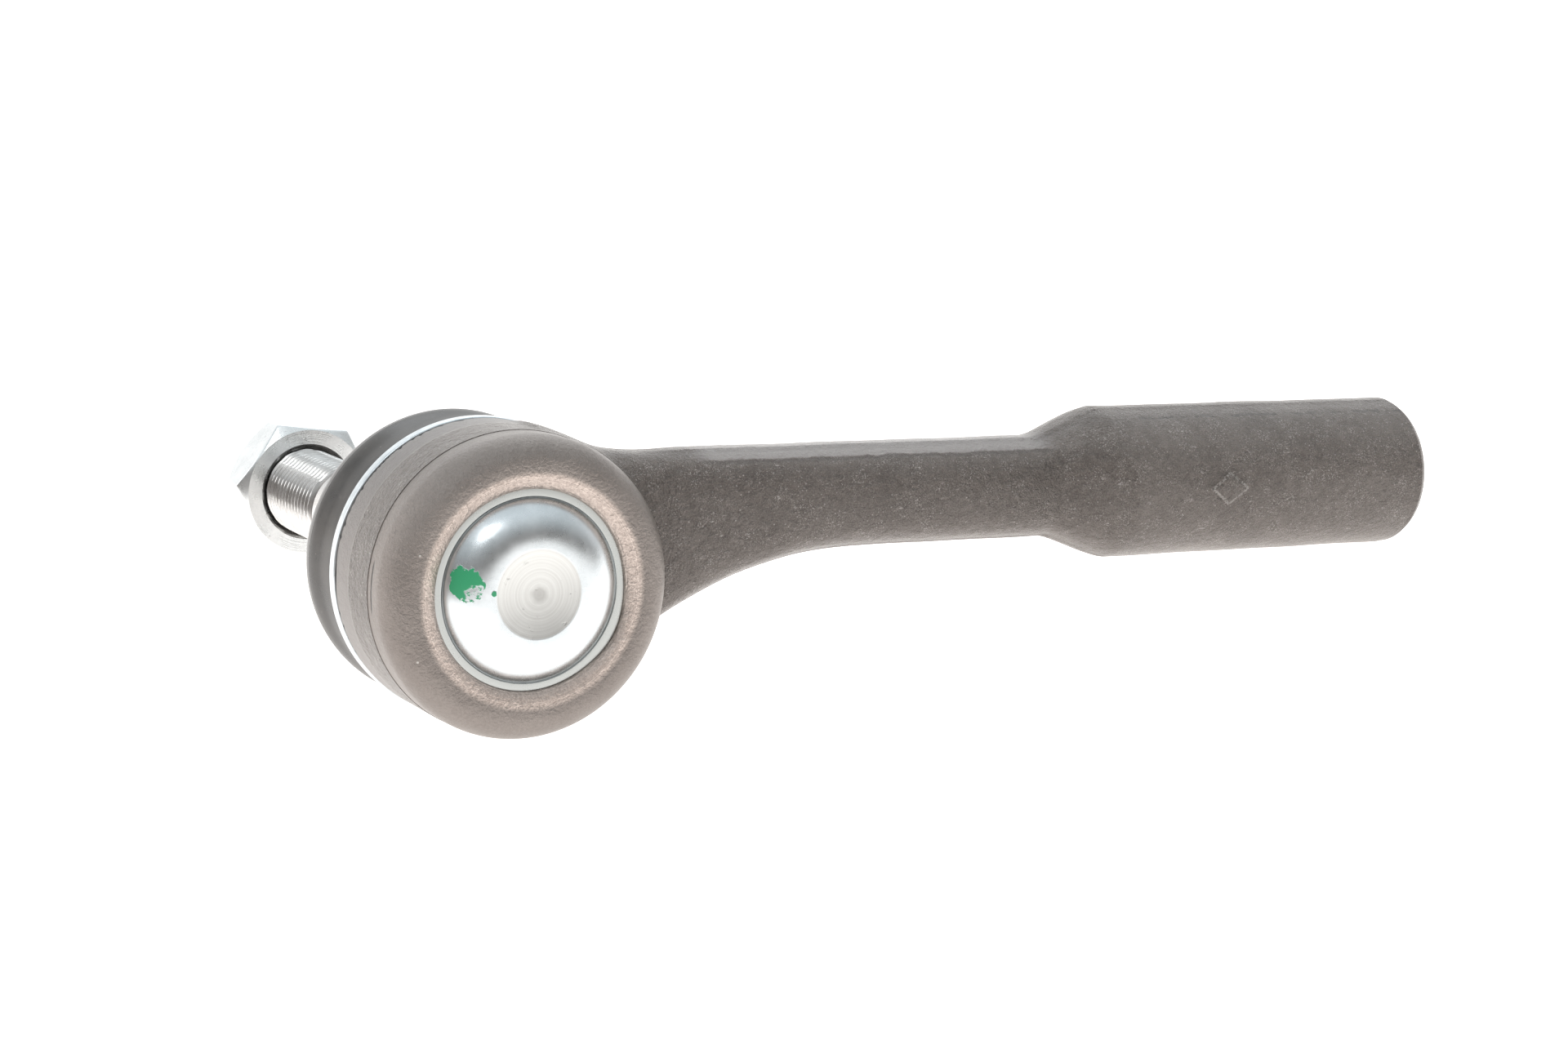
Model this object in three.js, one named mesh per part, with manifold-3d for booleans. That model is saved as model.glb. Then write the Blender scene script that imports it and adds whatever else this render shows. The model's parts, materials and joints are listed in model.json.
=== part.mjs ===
// Tie rod end: forged housing, greased ball joint, dust boot and self-locking nut.
// Units are millimetres. X runs along the shank towards the threaded barrel, Y runs along the
// ball stud from the pressed cover to the nut, and Z is up as the part lies on its side.
import * as THREE from "three";
import { mergeVertices } from "three/addons/utils/BufferGeometryUtils.js";
import { ParametricGeometry } from "three/addons/geometries/ParametricGeometry.js";
import Module from "manifold-3d";

const wasm = await Module();
wasm.setup();

// ---- overall sizes ------------------------------------------------------------------------
const REACH = 158.9; // ball centre to the open end of the barrel, along X
const STUD_LENGTH = 85; // ball centre to the end of the stud
const BALL_RADIUS = 12;
const HEAD_WALL = 6.9; // metal around the bearing
const FIT_GAP = 0.3; // every clearance between two pieces

// ---- bearing ------------------------------------------------------------------------------
const SEAT_WALL = 2.3;
const SEAT_SPLIT = 1.2; // gap between the two bearing shells
const SEAT_INNER = BALL_RADIUS + FIT_GAP;
const SEAT_OUTER = SEAT_INNER + SEAT_WALL;
const SEAT_OPENING = BALL_RADIUS * 0.892;
const HOUSING_BORE = SEAT_OUTER + FIT_GAP;
const DISC_THICKNESS = 0.9;
const DISC_BORE = BALL_RADIUS * 0.458;

// ---- ball stud ----------------------------------------------------------------------------
const BALL_FLAT_RADIUS = BALL_RADIUS / 3;
const NECK_RADIUS = 6.5;
const NECK_START = BALL_RADIUS + 3.5; // the neck begins to swell towards the taper
const THREAD_RADIUS = 7; // M14
const THREAD_PITCH = 1.5;
const THREAD_DEPTH = THREAD_PITCH * 0.613;
const TAPER_START = 29.5;
const TAPER_LENGTH = 23;
const TAPER_END = TAPER_START + TAPER_LENGTH;
const TAPER_SLOPE = 0.05; // 1:10 on diameter
const TAPER_SMALL_RADIUS = THREAD_RADIUS + 0.3;
const TAPER_BIG_RADIUS = TAPER_SMALL_RADIUS + TAPER_LENGTH * TAPER_SLOPE;
const THREAD_START = TAPER_END + 2;
const POINT_LENGTH = 1.6; // chamfered end of the thread

// ---- end cover ----------------------------------------------------------------------------
const CAP_RADIUS = HOUSING_BORE + 0.1; // outside radius of the pressed cover
const CAP_RIM_FACE = SEAT_OUTER + 2; // ball centre to the outside of the cover rim
const CAP_THICKNESS = 1.4;
const CAP_CREASE_RADIUS = CAP_RADIUS - 1.9;
const CAP_DOME_HEIGHT = 3.2;
const CAP_FLAT_RADIUS = CAP_CREASE_RADIUS / 2;
const COVER_FACE = CAP_RIM_FACE + CAP_DOME_HEIGHT; // ball centre to the flat of the cover
const CAP_SEAT = CAP_RIM_FACE - CAP_THICKNESS;
const CAP_POCKET = CAP_RADIUS + FIT_GAP;

// ---- housing ------------------------------------------------------------------------------
const HEAD_RADIUS = HOUSING_BORE + HEAD_WALL;
const LIP_RADIUS = CAP_RADIUS - 0.7; // inner edge of the metal spun over the cover
const LIP_HEIGHT = 1.4;
const CREST = CAP_RIM_FACE + LIP_HEIGHT;
const SIDE_BACK = 2.2; // ball centre to the back shoulder, towards the stud
const COLLAR_BACK = SIDE_BACK + BALL_RADIUS * 0.533; // ball centre to the end of the collar
const GROOVE_BACK = COLLAR_BACK - 2; // ball centre to the end of the groove that holds the boot
const COLLAR_RADIUS = HEAD_RADIUS - 3.2;
const COLLAR_NOSE_RADIUS = COLLAR_RADIUS - 2.1;
const COLLAR_BEAD = 0.7;
const MOUTH_RADIUS = BALL_RADIUS * 0.917; // opening the neck swings in
const MOUTH_FLARE = 1.4;
const CONE_START = BALL_RADIUS / 8; // ball centre to where the bore begins to close in

// ---- arm and barrel -----------------------------------------------------------------------
const ARM_Y = -4; // arm axis, measured from the ball centre
const ARM_Z = HEAD_RADIUS * 0.445; // the arm axis passes above the ball
const ROD_TOP = 7.4;
const ROD_BOTTOM = 7.7;
const ROD_HALF_WIDTH = 7.4;
const ROOT_HALF_WIDTH = SIDE_BACK - ARM_Y; // flush with the back shoulder
const LOWER_FILLET_RADIUS = 62;
const UPPER_FILLET_RADIUS = 50;
const ROOT_INSET = 0.3; // the fillets run out just under the skin of the head
const ROD_THREAD_RADIUS = 8; // M16 female thread
const ROD_BORE_RADIUS = ROD_THREAD_RADIUS - 0.8; // its minor radius
const BARREL_RADIUS = ROD_THREAD_RADIUS + 3.8;
const BARREL_LENGTH = 56;
const BARREL_CONE_LENGTH = 12;
const BARREL_CONE_LEAD = 2.5; // the upper half swells this much nearer the ball
const BARREL_CHAMFER = 0.9;
const ROD_BORE_DEPTH = BARREL_LENGTH - 10;

// ---- boot ---------------------------------------------------------------------------------
const BOOT_WALL = 1.5;
const BOOT_BULGE_RADIUS = HEAD_RADIUS - 0.2;
const CLAMP_RADIUS = HEAD_RADIUS + 0.1;
const CLAMP_WIDTH = 2.4;
const CLAMP_THICKNESS = 0.9;
const BOOT_NECK_Y = TAPER_START - 5.3;
const BOOT_NECK_LENGTH = 5;
const BOOT_NECK_WALL = 1.7;
const NECK_RING_WIDTH = 2.6;
const NECK_RING_THICKNESS = 0.9;

// ---- nut ----------------------------------------------------------------------------------
const NUT_FLATS = THREAD_RADIUS * 3;
const NUT_FACE = STUD_LENGTH - 10.4; // ball centre to the bearing face, as shipped
const NUT_HEX_HEIGHT = 10.9; // bearing face to the round collar
const NUT_CROWN_SLOPE = 0.54; // radius lost per millimetre over the crowned corners
const NUT_HEIGHT = 14;
const NUT_TURN = 5.7; // degrees, as it lies
const NUT_BORE = THREAD_RADIUS + FIT_GAP;
const NUT_WASHER_RADIUS = NUT_FLATS / 2 - 0.3;
const NUT_COLLAR_RADIUS = NUT_FLATS / 2 - 1.1;
const NUT_SINK = 0.6; // countersink beyond the bore
const INSERT_RADIUS = NUT_COLLAR_RADIUS - 0.9;
const INSERT_HEIGHT = 3;

// ---- faceting -----------------------------------------------------------------------------
const FINE = 44;
const ROUND = 36;
const BALL_STEP = 9; // degrees between the rings of the ball

// ---- helpers ------------------------------------------------------------------------------

/** Welds a geometry into a shared-vertex mesh without sliver triangles, facing outwards. */
function weld(geometry) {
  const bare = geometry.clone();
  bare.deleteAttribute("normal");
  bare.deleteAttribute("uv");
  const merged = mergeVertices(bare, 1e-4);
  const index = merged.index.array;
  const kept = [];
  for (let i = 0; i < index.length; i += 3) {
    const [a, b, c] = [index[i], index[i + 1], index[i + 2]];
    if (a !== b && b !== c && c !== a) {
      kept.push(a, b, c);
    }
  }
  merged.setIndex(kept);
  if (signedVolume(merged) < 0) {
    for (let i = 0; i < kept.length; i += 3) {
      [kept[i], kept[i + 1]] = [kept[i + 1], kept[i]];
    }
    merged.setIndex(kept);
  }
  return merged;
}

/** Six times the signed volume, positive when the faces point outwards. */
function signedVolume(geometry) {
  const p = geometry.attributes.position;
  const index = geometry.index.array;
  const [a, b, c] = [new THREE.Vector3(), new THREE.Vector3(), new THREE.Vector3()];
  let sum = 0;
  for (let i = 0; i < index.length; i += 3) {
    a.fromBufferAttribute(p, index[i]);
    b.fromBufferAttribute(p, index[i + 1]);
    c.fromBufferAttribute(p, index[i + 2]);
    sum += a.dot(b.cross(c));
  }
  return sum;
}

/** A three.js geometry as a manifold solid, ready to be joined or cut. */
function solid(geometry) {
  const g = weld(geometry);
  const mesh = new wasm.Mesh({
    numProp: 3,
    vertProperties: new Float32Array(g.attributes.position.array),
    triVerts: new Uint32Array(g.index.array),
  });
  return new wasm.Manifold(mesh);
}

/** The manifold solid as a three.js geometry. */
function fromSolid(manifold) {
  const mesh = manifold.getMesh();
  const g = new THREE.BufferGeometry();
  g.setAttribute("position", new THREE.BufferAttribute(new Float32Array(mesh.vertProperties), 3));
  g.setIndex(new THREE.BufferAttribute(new Uint32Array(mesh.triVerts), 1));
  return g;
}

/** Turns a list of [radius, y] points about Y. The profile starts and ends on the axis. */
function turned(profile, segments = ROUND) {
  return new THREE.LatheGeometry(profile.map(([r, y]) => new THREE.Vector2(r, y)), segments);
}

/** Turns a closed [radius, y] outline about Y, for a ring. */
function ring(outline, segments = ROUND) {
  return turned([...outline, outline[0]], segments);
}

/** Points of a circular arc in the (radius, y) plane, angles in degrees from the +radius axis. */
function arc(centreR, centreY, radius, from, to, steps) {
  return Array.from({ length: steps + 1 }, (_, i) => {
    const a = THREE.MathUtils.degToRad(from + ((to - from) * i) / steps);
    return [centreR + radius * Math.cos(a), centreY + radius * Math.sin(a)];
  });
}

/** Moves a geometry that was built about the X axis onto the arm axis. */
function ontoArm(geometry) {
  geometry.rotateZ(-Math.PI / 2);
  geometry.translate(0, ARM_Y, ARM_Z);
  return geometry;
}

/** Latitude in degrees at which a sphere of radius R has the ring radius r. */
function latitude(r, R) {
  return THREE.MathUtils.radToDeg(Math.acos(r / R));
}

const steps = (from, to) => Math.max(2, Math.ceil(Math.abs(to - from) / BALL_STEP));

// ---- housing ------------------------------------------------------------------------------

/** The round head with its shoulder, spun lip and boot collar, before it is bored. */
function headBlank() {
  const shoulder = (HEAD_RADIUS - LIP_RADIUS) * 0.58;
  return turned([
    [0, -CREST + LIP_HEIGHT],
    [LIP_RADIUS, -CREST + LIP_HEIGHT],
    [LIP_RADIUS + 0.7, -CREST + 0.4],
    [LIP_RADIUS + 1.9, -CREST],
    ...arc(HEAD_RADIUS - shoulder, -CREST + shoulder, shoulder, 270, 360, 5),
    [HEAD_RADIUS, SIDE_BACK - 0.5],
    [HEAD_RADIUS - 0.5, SIDE_BACK],
    [COLLAR_RADIUS, SIDE_BACK],
    [COLLAR_RADIUS, GROOVE_BACK - 1],
    [COLLAR_RADIUS + COLLAR_BEAD, GROOVE_BACK - 0.6],
    [COLLAR_RADIUS + COLLAR_BEAD / 2, GROOVE_BACK],
    [COLLAR_NOSE_RADIUS, COLLAR_BACK],
    [0, COLLAR_BACK],
  ], FINE);
}

/** The stepped hollow for the cover, the bearing shells and the swinging neck. */
function headHollow() {
  return turned([
    [0, -CREST - 1],
    [LIP_RADIUS, -CREST - 1],
    [LIP_RADIUS, -CAP_RIM_FACE - FIT_GAP],
    [CAP_POCKET, -CAP_RIM_FACE - FIT_GAP],
    [CAP_POCKET, -CAP_SEAT + FIT_GAP],
    [HOUSING_BORE, -CAP_SEAT + FIT_GAP],
    [HOUSING_BORE, CONE_START],
    [MOUTH_RADIUS, COLLAR_BACK - MOUTH_FLARE],
    [MOUTH_RADIUS + MOUTH_FLARE, COLLAR_BACK],
    [MOUTH_RADIUS + MOUTH_FLARE, COLLAR_BACK + 1],
    [0, COLLAR_BACK + 1],
  ], FINE);
}

/**
 * Distance from the head's centre line to the edge of the arm, on the side where the rod's own
 * edge is at rodEdge. The fillet is a circle that touches both the head and the rod.
 */
function armEdge(x, rodEdge, fillet) {
  const head = HEAD_RADIUS - ROOT_INSET;
  const end = Math.sqrt((fillet + head) ** 2 - (fillet + rodEdge) ** 2);
  const start = (end * head) / (fillet + head);
  if (x < start) {
    return Math.sqrt(head ** 2 - x ** 2);
  }
  const run = Math.max(end - x, 0);
  return rodEdge + fillet - Math.sqrt(fillet ** 2 - run ** 2);
}

/** The forged arm from inside the head to just inside the barrel. */
function armBlank() {
  const barrelStart = REACH - BARREL_LENGTH;
  const coneStart = barrelStart - BARREL_CONE_LENGTH;
  const start = HEAD_RADIUS * 0.25;
  const stations = [
    ...[0, 0, 0.06, 0.12, 0.18, 0.25, 0.33, 0.45, 0.6, 0.8].map((t) => start + (coneStart - start) * t),
    ...[-0.2, 0, 0.2, 0.4, 0.6, 0.8, 1, 1.2, 1.2].map((t) => coneStart + BARREL_CONE_LENGTH * t),
  ];
  const last = stations.length - 1;
  const at = (u, v, target) => {
    const i = Math.round(v * last);
    const x = stations[i];
    const angle = 2 * Math.PI * u;
    const lead = BARREL_CONE_LEAD * Math.max(0, Math.sin(angle));
    const grow = THREE.MathUtils.smoothstep(x + lead, coneStart, barrelStart);
    const root = THREE.MathUtils.smoothstep(x, HEAD_RADIUS, LOWER_FILLET_RADIUS);
    const top = armEdge(x, ARM_Z + ROD_TOP, UPPER_FILLET_RADIUS) - ARM_Z;
    const bottom = armEdge(x, ROD_BOTTOM - ARM_Z, LOWER_FILLET_RADIUS) + ARM_Z;
    const high = THREE.MathUtils.lerp(top, BARREL_RADIUS, grow);
    const low = THREE.MathUtils.lerp(bottom, BARREL_RADIUS, grow);
    const rodWidth = THREE.MathUtils.lerp(ROOT_HALF_WIDTH, ROD_HALF_WIDTH, root);
    const wide = THREE.MathUtils.lerp(rodWidth, BARREL_RADIUS, grow);
    const power = THREE.MathUtils.lerp(THREE.MathUtils.lerp(0.72, 0.86, root), 1, grow);
    const cap = i === 0 || i === last ? 0 : 1;
    const side = Math.sign(Math.cos(angle)) * Math.abs(Math.cos(angle)) ** power;
    const rise = Math.sign(Math.sin(angle)) * Math.abs(Math.sin(angle)) ** power;
    const tall = rise > 0 ? high : low;
    target.set(x, ARM_Y + cap * wide * side, ARM_Z + cap * tall * rise);
  };
  return new ParametricGeometry(at, ROUND, last);
}

/** The round barrel with its chamfered end. */
function barrelBlank() {
  const from = REACH - BARREL_LENGTH;
  return ontoArm(turned([
    [0, from],
    [BARREL_RADIUS, from],
    [BARREL_RADIUS, REACH - BARREL_CHAMFER],
    [BARREL_RADIUS - BARREL_CHAMFER, REACH],
    [0, REACH],
  ]));
}

/** The tapped hole in the barrel, with its drill point and countersunk mouth. */
function barrelBore() {
  const bottom = REACH - ROD_BORE_DEPTH;
  const sink = ROD_THREAD_RADIUS + 0.4 - ROD_BORE_RADIUS;
  return ontoArm(turned([
    [0, bottom - ROD_BORE_RADIUS * 0.6],
    [ROD_BORE_RADIUS, bottom],
    [ROD_BORE_RADIUS, REACH - sink],
    [ROD_BORE_RADIUS + sink, REACH],
    [ROD_BORE_RADIUS + sink, REACH + 1],
    [0, REACH + 1],
  ]));
}

function housing() {
  return fromSolid(
    solid(headBlank())
      .add(solid(armBlank()))
      .add(solid(barrelBlank()))
      .subtract(solid(headHollow()))
      .subtract(solid(barrelBore())),
  );
}

// ---- pieces inside the head -----------------------------------------------------------------

/** Outside of the dome from the crease inwards, as [radius, y] points. */
function domeRise() {
  const rim = CAP_CREASE_RADIUS;
  const dome = (k) => -CAP_RIM_FACE - CAP_DOME_HEIGHT * k;
  return [
    [rim, dome(0)],
    [rim - 0.5, dome(0.22)],
    [rim - 1.8, dome(0.55)],
    [(rim + CAP_FLAT_RADIUS) / 2, dome(0.85)],
    [CAP_FLAT_RADIUS, dome(1)],
  ];
}

/** Inside of the dome, one thickness below the outside. */
function domeInside() {
  return domeRise().map(([r, y]) => [r - CAP_THICKNESS / 2, y + CAP_THICKNESS]);
}

/** The pressed steel cover: flat rim, crease, dome and flat centre, all one thickness. */
function endCover() {
  const inside = domeInside();
  return turned([
    [0, -COVER_FACE],
    ...domeRise().reverse(),
    [CAP_RADIUS, -CAP_RIM_FACE],
    [CAP_RADIUS, -CAP_SEAT],
    ...inside,
    [0, -COVER_FACE + CAP_THICKNESS],
  ], FINE);
}

/** The bearing shell behind the cover, pressed onto the ball by the disc spring. */
function coverShell() {
  const front = -SEAT_OUTER + 0.4;
  const edge = THREE.MathUtils.radToDeg(Math.asin(SEAT_SPLIT / 2 / SEAT_INNER));
  const open = -latitude(DISC_BORE, SEAT_INNER);
  return ring([
    ...arc(0, 0, SEAT_INNER, open, -edge, steps(open, edge)),
    [SEAT_OUTER, -SEAT_SPLIT / 2],
    [SEAT_OUTER, front * 0.62],
    [SEAT_OUTER - 3.4, front],
    [DISC_BORE, front],
  ]);
}

/** The bearing shell at the stud side, which holds the ball in against pull. */
function studShell() {
  const edge = THREE.MathUtils.radToDeg(Math.asin(SEAT_SPLIT / 2 / SEAT_INNER));
  const open = latitude(SEAT_OPENING, SEAT_INNER);
  const mouth = SEAT_INNER * Math.sin(THREE.MathUtils.degToRad(open));
  const slope = (HOUSING_BORE - MOUTH_RADIUS) / (COLLAR_BACK - MOUTH_FLARE - CONE_START);
  const wall = HOUSING_BORE - slope * (mouth - CONE_START) - FIT_GAP * 1.3;
  return ring([
    ...arc(0, 0, SEAT_INNER, open, edge, steps(open, edge)),
    [SEAT_OUTER, SEAT_SPLIT / 2],
    [SEAT_OUTER, CONE_START],
    [wall, mouth],
  ]);
}

/** Height of an outline at a radius that lies between two of its points. */
function heightAt(outline, radius) {
  const i = outline.findIndex(([r]) => r <= radius);
  const [r0, y0] = outline[i - 1];
  const [r1, y1] = outline[i];
  return THREE.MathUtils.mapLinear(radius, r0, r1, y0, y1);
}

/** The conical disc spring between the cover and its bearing shell, which preloads the joint. */
function preloadDisc() {
  const bore = DISC_BORE + 0.6;
  const rim = CAP_CREASE_RADIUS - 2.1;
  const inner = -SEAT_OUTER + 0.4 - FIT_GAP;
  const outer = heightAt(domeInside(), rim) + FIT_GAP;
  return ring([
    [bore, inner],
    [bore, inner - DISC_THICKNESS],
    [rim, outer],
    [rim, outer + DISC_THICKNESS],
  ]);
}

// ---- ball stud ------------------------------------------------------------------------------

/** Ball, neck, 1:10 taper, thread relief and M14 thread, forged and turned in one. */
function ballStud() {
  const low = -latitude(BALL_FLAT_RADIUS, BALL_RADIUS);
  const high = latitude(NECK_RADIUS, BALL_RADIUS);
  const threadEnd = STUD_LENGTH - POINT_LENGTH;
  const grooves = Math.floor((threadEnd - THREAD_START) / THREAD_PITCH);
  const pitch = (threadEnd - THREAD_START) / grooves;
  const thread = [];
  for (let i = 0; i < grooves; i += 1) {
    const y = THREAD_START + i * pitch;
    thread.push([THREAD_RADIUS - THREAD_DEPTH, y], [THREAD_RADIUS, y + pitch * 0.5]);
  }
  return turned([
    [0, -BALL_RADIUS * Math.sin(THREE.MathUtils.degToRad(-low))],
    ...arc(0, 0, BALL_RADIUS, low, high, steps(low, high)),
    [NECK_RADIUS, NECK_START],
    [TAPER_BIG_RADIUS - 0.6, TAPER_START - 5],
    [TAPER_BIG_RADIUS, TAPER_START - 3],
    [TAPER_BIG_RADIUS, TAPER_START],
    [TAPER_SMALL_RADIUS, TAPER_END],
    [THREAD_RADIUS - THREAD_DEPTH, TAPER_END + 0.6],
    ...thread,
    [THREAD_RADIUS - THREAD_DEPTH, threadEnd],
    [THREAD_RADIUS - 0.2, threadEnd + 0.3],
    [THREAD_RADIUS - 1.4, STUD_LENGTH],
    [0, STUD_LENGTH],
  ], ROUND);
}

// ---- boot and its rings ---------------------------------------------------------------------

/** Moves each inner point of an outline by the same distance to its right-hand side. */
function inset(outline, distance) {
  return outline.slice(1, -1).map(([r, y], i) => {
    const along = new THREE.Vector2(...outline[i + 2]).sub(new THREE.Vector2(...outline[i]));
    along.setLength(distance);
    return [r - along.y, y + along.x];
  });
}

/** The rubber boot: bead on the collar, throat, one full bulge and a sealing neck. */
function dustBoot() {
  const beadIn = COLLAR_RADIUS + FIT_GAP;
  const beadOut = CLAMP_RADIUS - CLAMP_THICKNESS - FIT_GAP;
  const neckIn = TAPER_BIG_RADIUS + FIT_GAP;
  const neckOut = neckIn + BOOT_NECK_WALL;
  const neckEnd = BOOT_NECK_Y + BOOT_NECK_LENGTH;
  const beadFront = SIDE_BACK + FIT_GAP;
  const beadBack = GROOVE_BACK - 1 - FIT_GAP;
  const beadWall = COLLAR_RADIUS + COLLAR_BEAD + FIT_GAP;
  const along = (share) => THREE.MathUtils.lerp(GROOVE_BACK, BOOT_NECK_Y, share);
  const across = (share) => THREE.MathUtils.lerp(neckOut, BOOT_BULGE_RADIUS, share);
  const bulge = [
    [beadWall + BOOT_WALL * 0.8, along(0.06)],
    [across(0.955), along(0.227)],
    [across(1), along(0.398)],
    [across(0.92), along(0.568)],
    [across(0.695), along(0.739)],
    [across(0.336), along(0.864)],
    [neckOut + 0.6, along(0.977)],
  ];
  const outer = [
    [beadOut, beadFront],
    [beadOut, beadFront + CLAMP_WIDTH],
    ...bulge,
    [neckOut, BOOT_NECK_Y + 0.6],
    [neckOut, neckEnd - 1.6],
    [neckOut + 0.8, neckEnd - 1],
    [neckOut + 0.8, neckEnd],
  ];
  const inner = [
    [neckIn, neckEnd],
    [neckIn, BOOT_NECK_Y],
    ...inset(bulge, BOOT_WALL).reverse(),
    [beadWall, along(0.034)],
    [beadWall, beadBack],
    [beadIn, beadBack - 0.3],
    [beadIn, beadFront],
  ];
  return ring([...outer, ...inner], FINE);
}

/** A plain steel band with slightly eased outer edges. */
function band(outerRadius, thickness, from, width) {
  return ring([
    [outerRadius - thickness, from],
    [outerRadius - 0.2, from],
    [outerRadius, from + 0.2],
    [outerRadius, from + width - 0.2],
    [outerRadius - 0.2, from + width],
    [outerRadius - thickness, from + width],
  ], FINE);
}

const bootClampRing = () => band(CLAMP_RADIUS, CLAMP_THICKNESS, SIDE_BACK + FIT_GAP, CLAMP_WIDTH - 0.6);

const bootNeckRing = () => band(
  TAPER_BIG_RADIUS + FIT_GAP * 2 + BOOT_NECK_WALL + NECK_RING_THICKNESS,
  NECK_RING_THICKNESS,
  BOOT_NECK_Y + 0.8,
  NECK_RING_WIDTH,
);

// ---- nut ------------------------------------------------------------------------------------

/** Hexagonal prism between two y levels. */
function hexPrism(flats, from, to) {
  const g = new THREE.CylinderGeometry(flats / Math.sqrt(3), flats / Math.sqrt(3), to - from, 6);
  g.rotateY(THREE.MathUtils.degToRad(90 - NUT_TURN));
  g.translate(0, (from + to) / 2, 0);
  return g;
}

/** The hexagon, turned down at both ends, with a round collar that holds the locking insert. */
function hexNut() {
  const corner = NUT_FLATS / Math.sqrt(3);
  const clear = corner + 0.2;
  const bevel = (corner - NUT_WASHER_RADIUS) * 0.58;
  const shoulder = NUT_FACE + NUT_HEX_HEIGHT;
  const end = NUT_FACE + NUT_HEIGHT;
  const envelope = turned([
    [0, NUT_FACE],
    [NUT_WASHER_RADIUS, NUT_FACE],
    [clear, NUT_FACE + bevel],
    [clear, shoulder - (clear - NUT_COLLAR_RADIUS) / NUT_CROWN_SLOPE],
    [NUT_COLLAR_RADIUS, shoulder],
    [NUT_COLLAR_RADIUS, end - 0.9],
    [NUT_COLLAR_RADIUS - 1, end],
    [0, end],
  ]);
  const pocket = end - 0.7 - INSERT_HEIGHT - FIT_GAP * 2;
  const hole = turned([
    [0, NUT_FACE - 1],
    [NUT_BORE + NUT_SINK, NUT_FACE - 1],
    [NUT_BORE + NUT_SINK, NUT_FACE],
    [NUT_BORE, NUT_FACE + NUT_SINK],
    [NUT_BORE, pocket],
    [INSERT_RADIUS + FIT_GAP, pocket],
    [INSERT_RADIUS + FIT_GAP, end - 0.7],
    [NUT_BORE + NUT_SINK, end - 0.7],
    [NUT_BORE + NUT_SINK, end + 1],
    [0, end + 1],
  ]);
  return fromSolid(
    solid(hexPrism(NUT_FLATS, NUT_FACE, end)).intersect(solid(envelope)).subtract(solid(hole)),
  );
}

/** The nylon ring that grips the thread. */
function lockingInsert() {
  const top = NUT_FACE + NUT_HEIGHT - 0.7 - FIT_GAP;
  return ring([
    [NUT_BORE, top - INSERT_HEIGHT],
    [INSERT_RADIUS, top - INSERT_HEIGHT],
    [INSERT_RADIUS, top],
    [NUT_BORE, top],
  ]);
}

// ---- assembly ---------------------------------------------------------------------------------

const FINISHES = {
  forged: { color: 0x6f6660, roughness: 0.82, metalness: 0.55 },
  zinc: { color: 0xc9ccce, roughness: 0.28, metalness: 1 },
  stud: { color: 0xb9babb, roughness: 0.3, metalness: 1 },
  spring: { color: 0x4c4a48, roughness: 0.45, metalness: 0.9 },
  plastic: { color: 0xe8e4d8, roughness: 0.5, metalness: 0 },
  insert: { color: 0x2f5fa8, roughness: 0.45, metalness: 0 },
  rubber: { color: 0x27231f, roughness: 0.55, metalness: 0 },
};

/** Places a finished piece so that the origin of the part is the centre of the cover's flat. */
function piece(name, geometry, finish) {
  const g = weld(geometry);
  g.translate(0, COVER_FACE, 0);
  g.computeVertexNormals();
  const mesh = new THREE.Mesh(g, new THREE.MeshStandardMaterial(FINISHES[finish]));
  mesh.name = name;
  return mesh;
}

const part = new THREE.Group();
part.name = "tie_rod_end";
part.add(
  piece("housing", housing(), "forged"),
  piece("end_cover", endCover(), "zinc"),
  piece("preload_disc_spring", preloadDisc(), "spring"),
  piece("cover_side_bearing_shell", coverShell(), "plastic"),
  piece("stud_side_bearing_shell", studShell(), "plastic"),
  piece("ball_stud", ballStud(), "stud"),
  piece("dust_boot", dustBoot(), "rubber"),
  piece("boot_clamp_ring", bootClampRing(), "zinc"),
  piece("boot_neck_ring", bootNeckRing(), "zinc"),
  piece("lock_nut", hexNut(), "zinc"),
  piece("nut_locking_insert", lockingInsert(), "insert"),
);

export default part;
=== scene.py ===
# %% [markdown]
# # A tie rod end, finished around its working skeleton
# A tie rod end joins a car's steering rack to a wheel. A threaded rod screws into its barrel, and a
# ball inside its round head lets the tapered stud lean and turn. The sizes and the joints of the part
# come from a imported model, which is loaded first. This lesson gives each piece its true surface and
# finish, without changing any size.

import json
import math

import bpy
import numpy as np
from mathutils import Matrix, Vector


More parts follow.
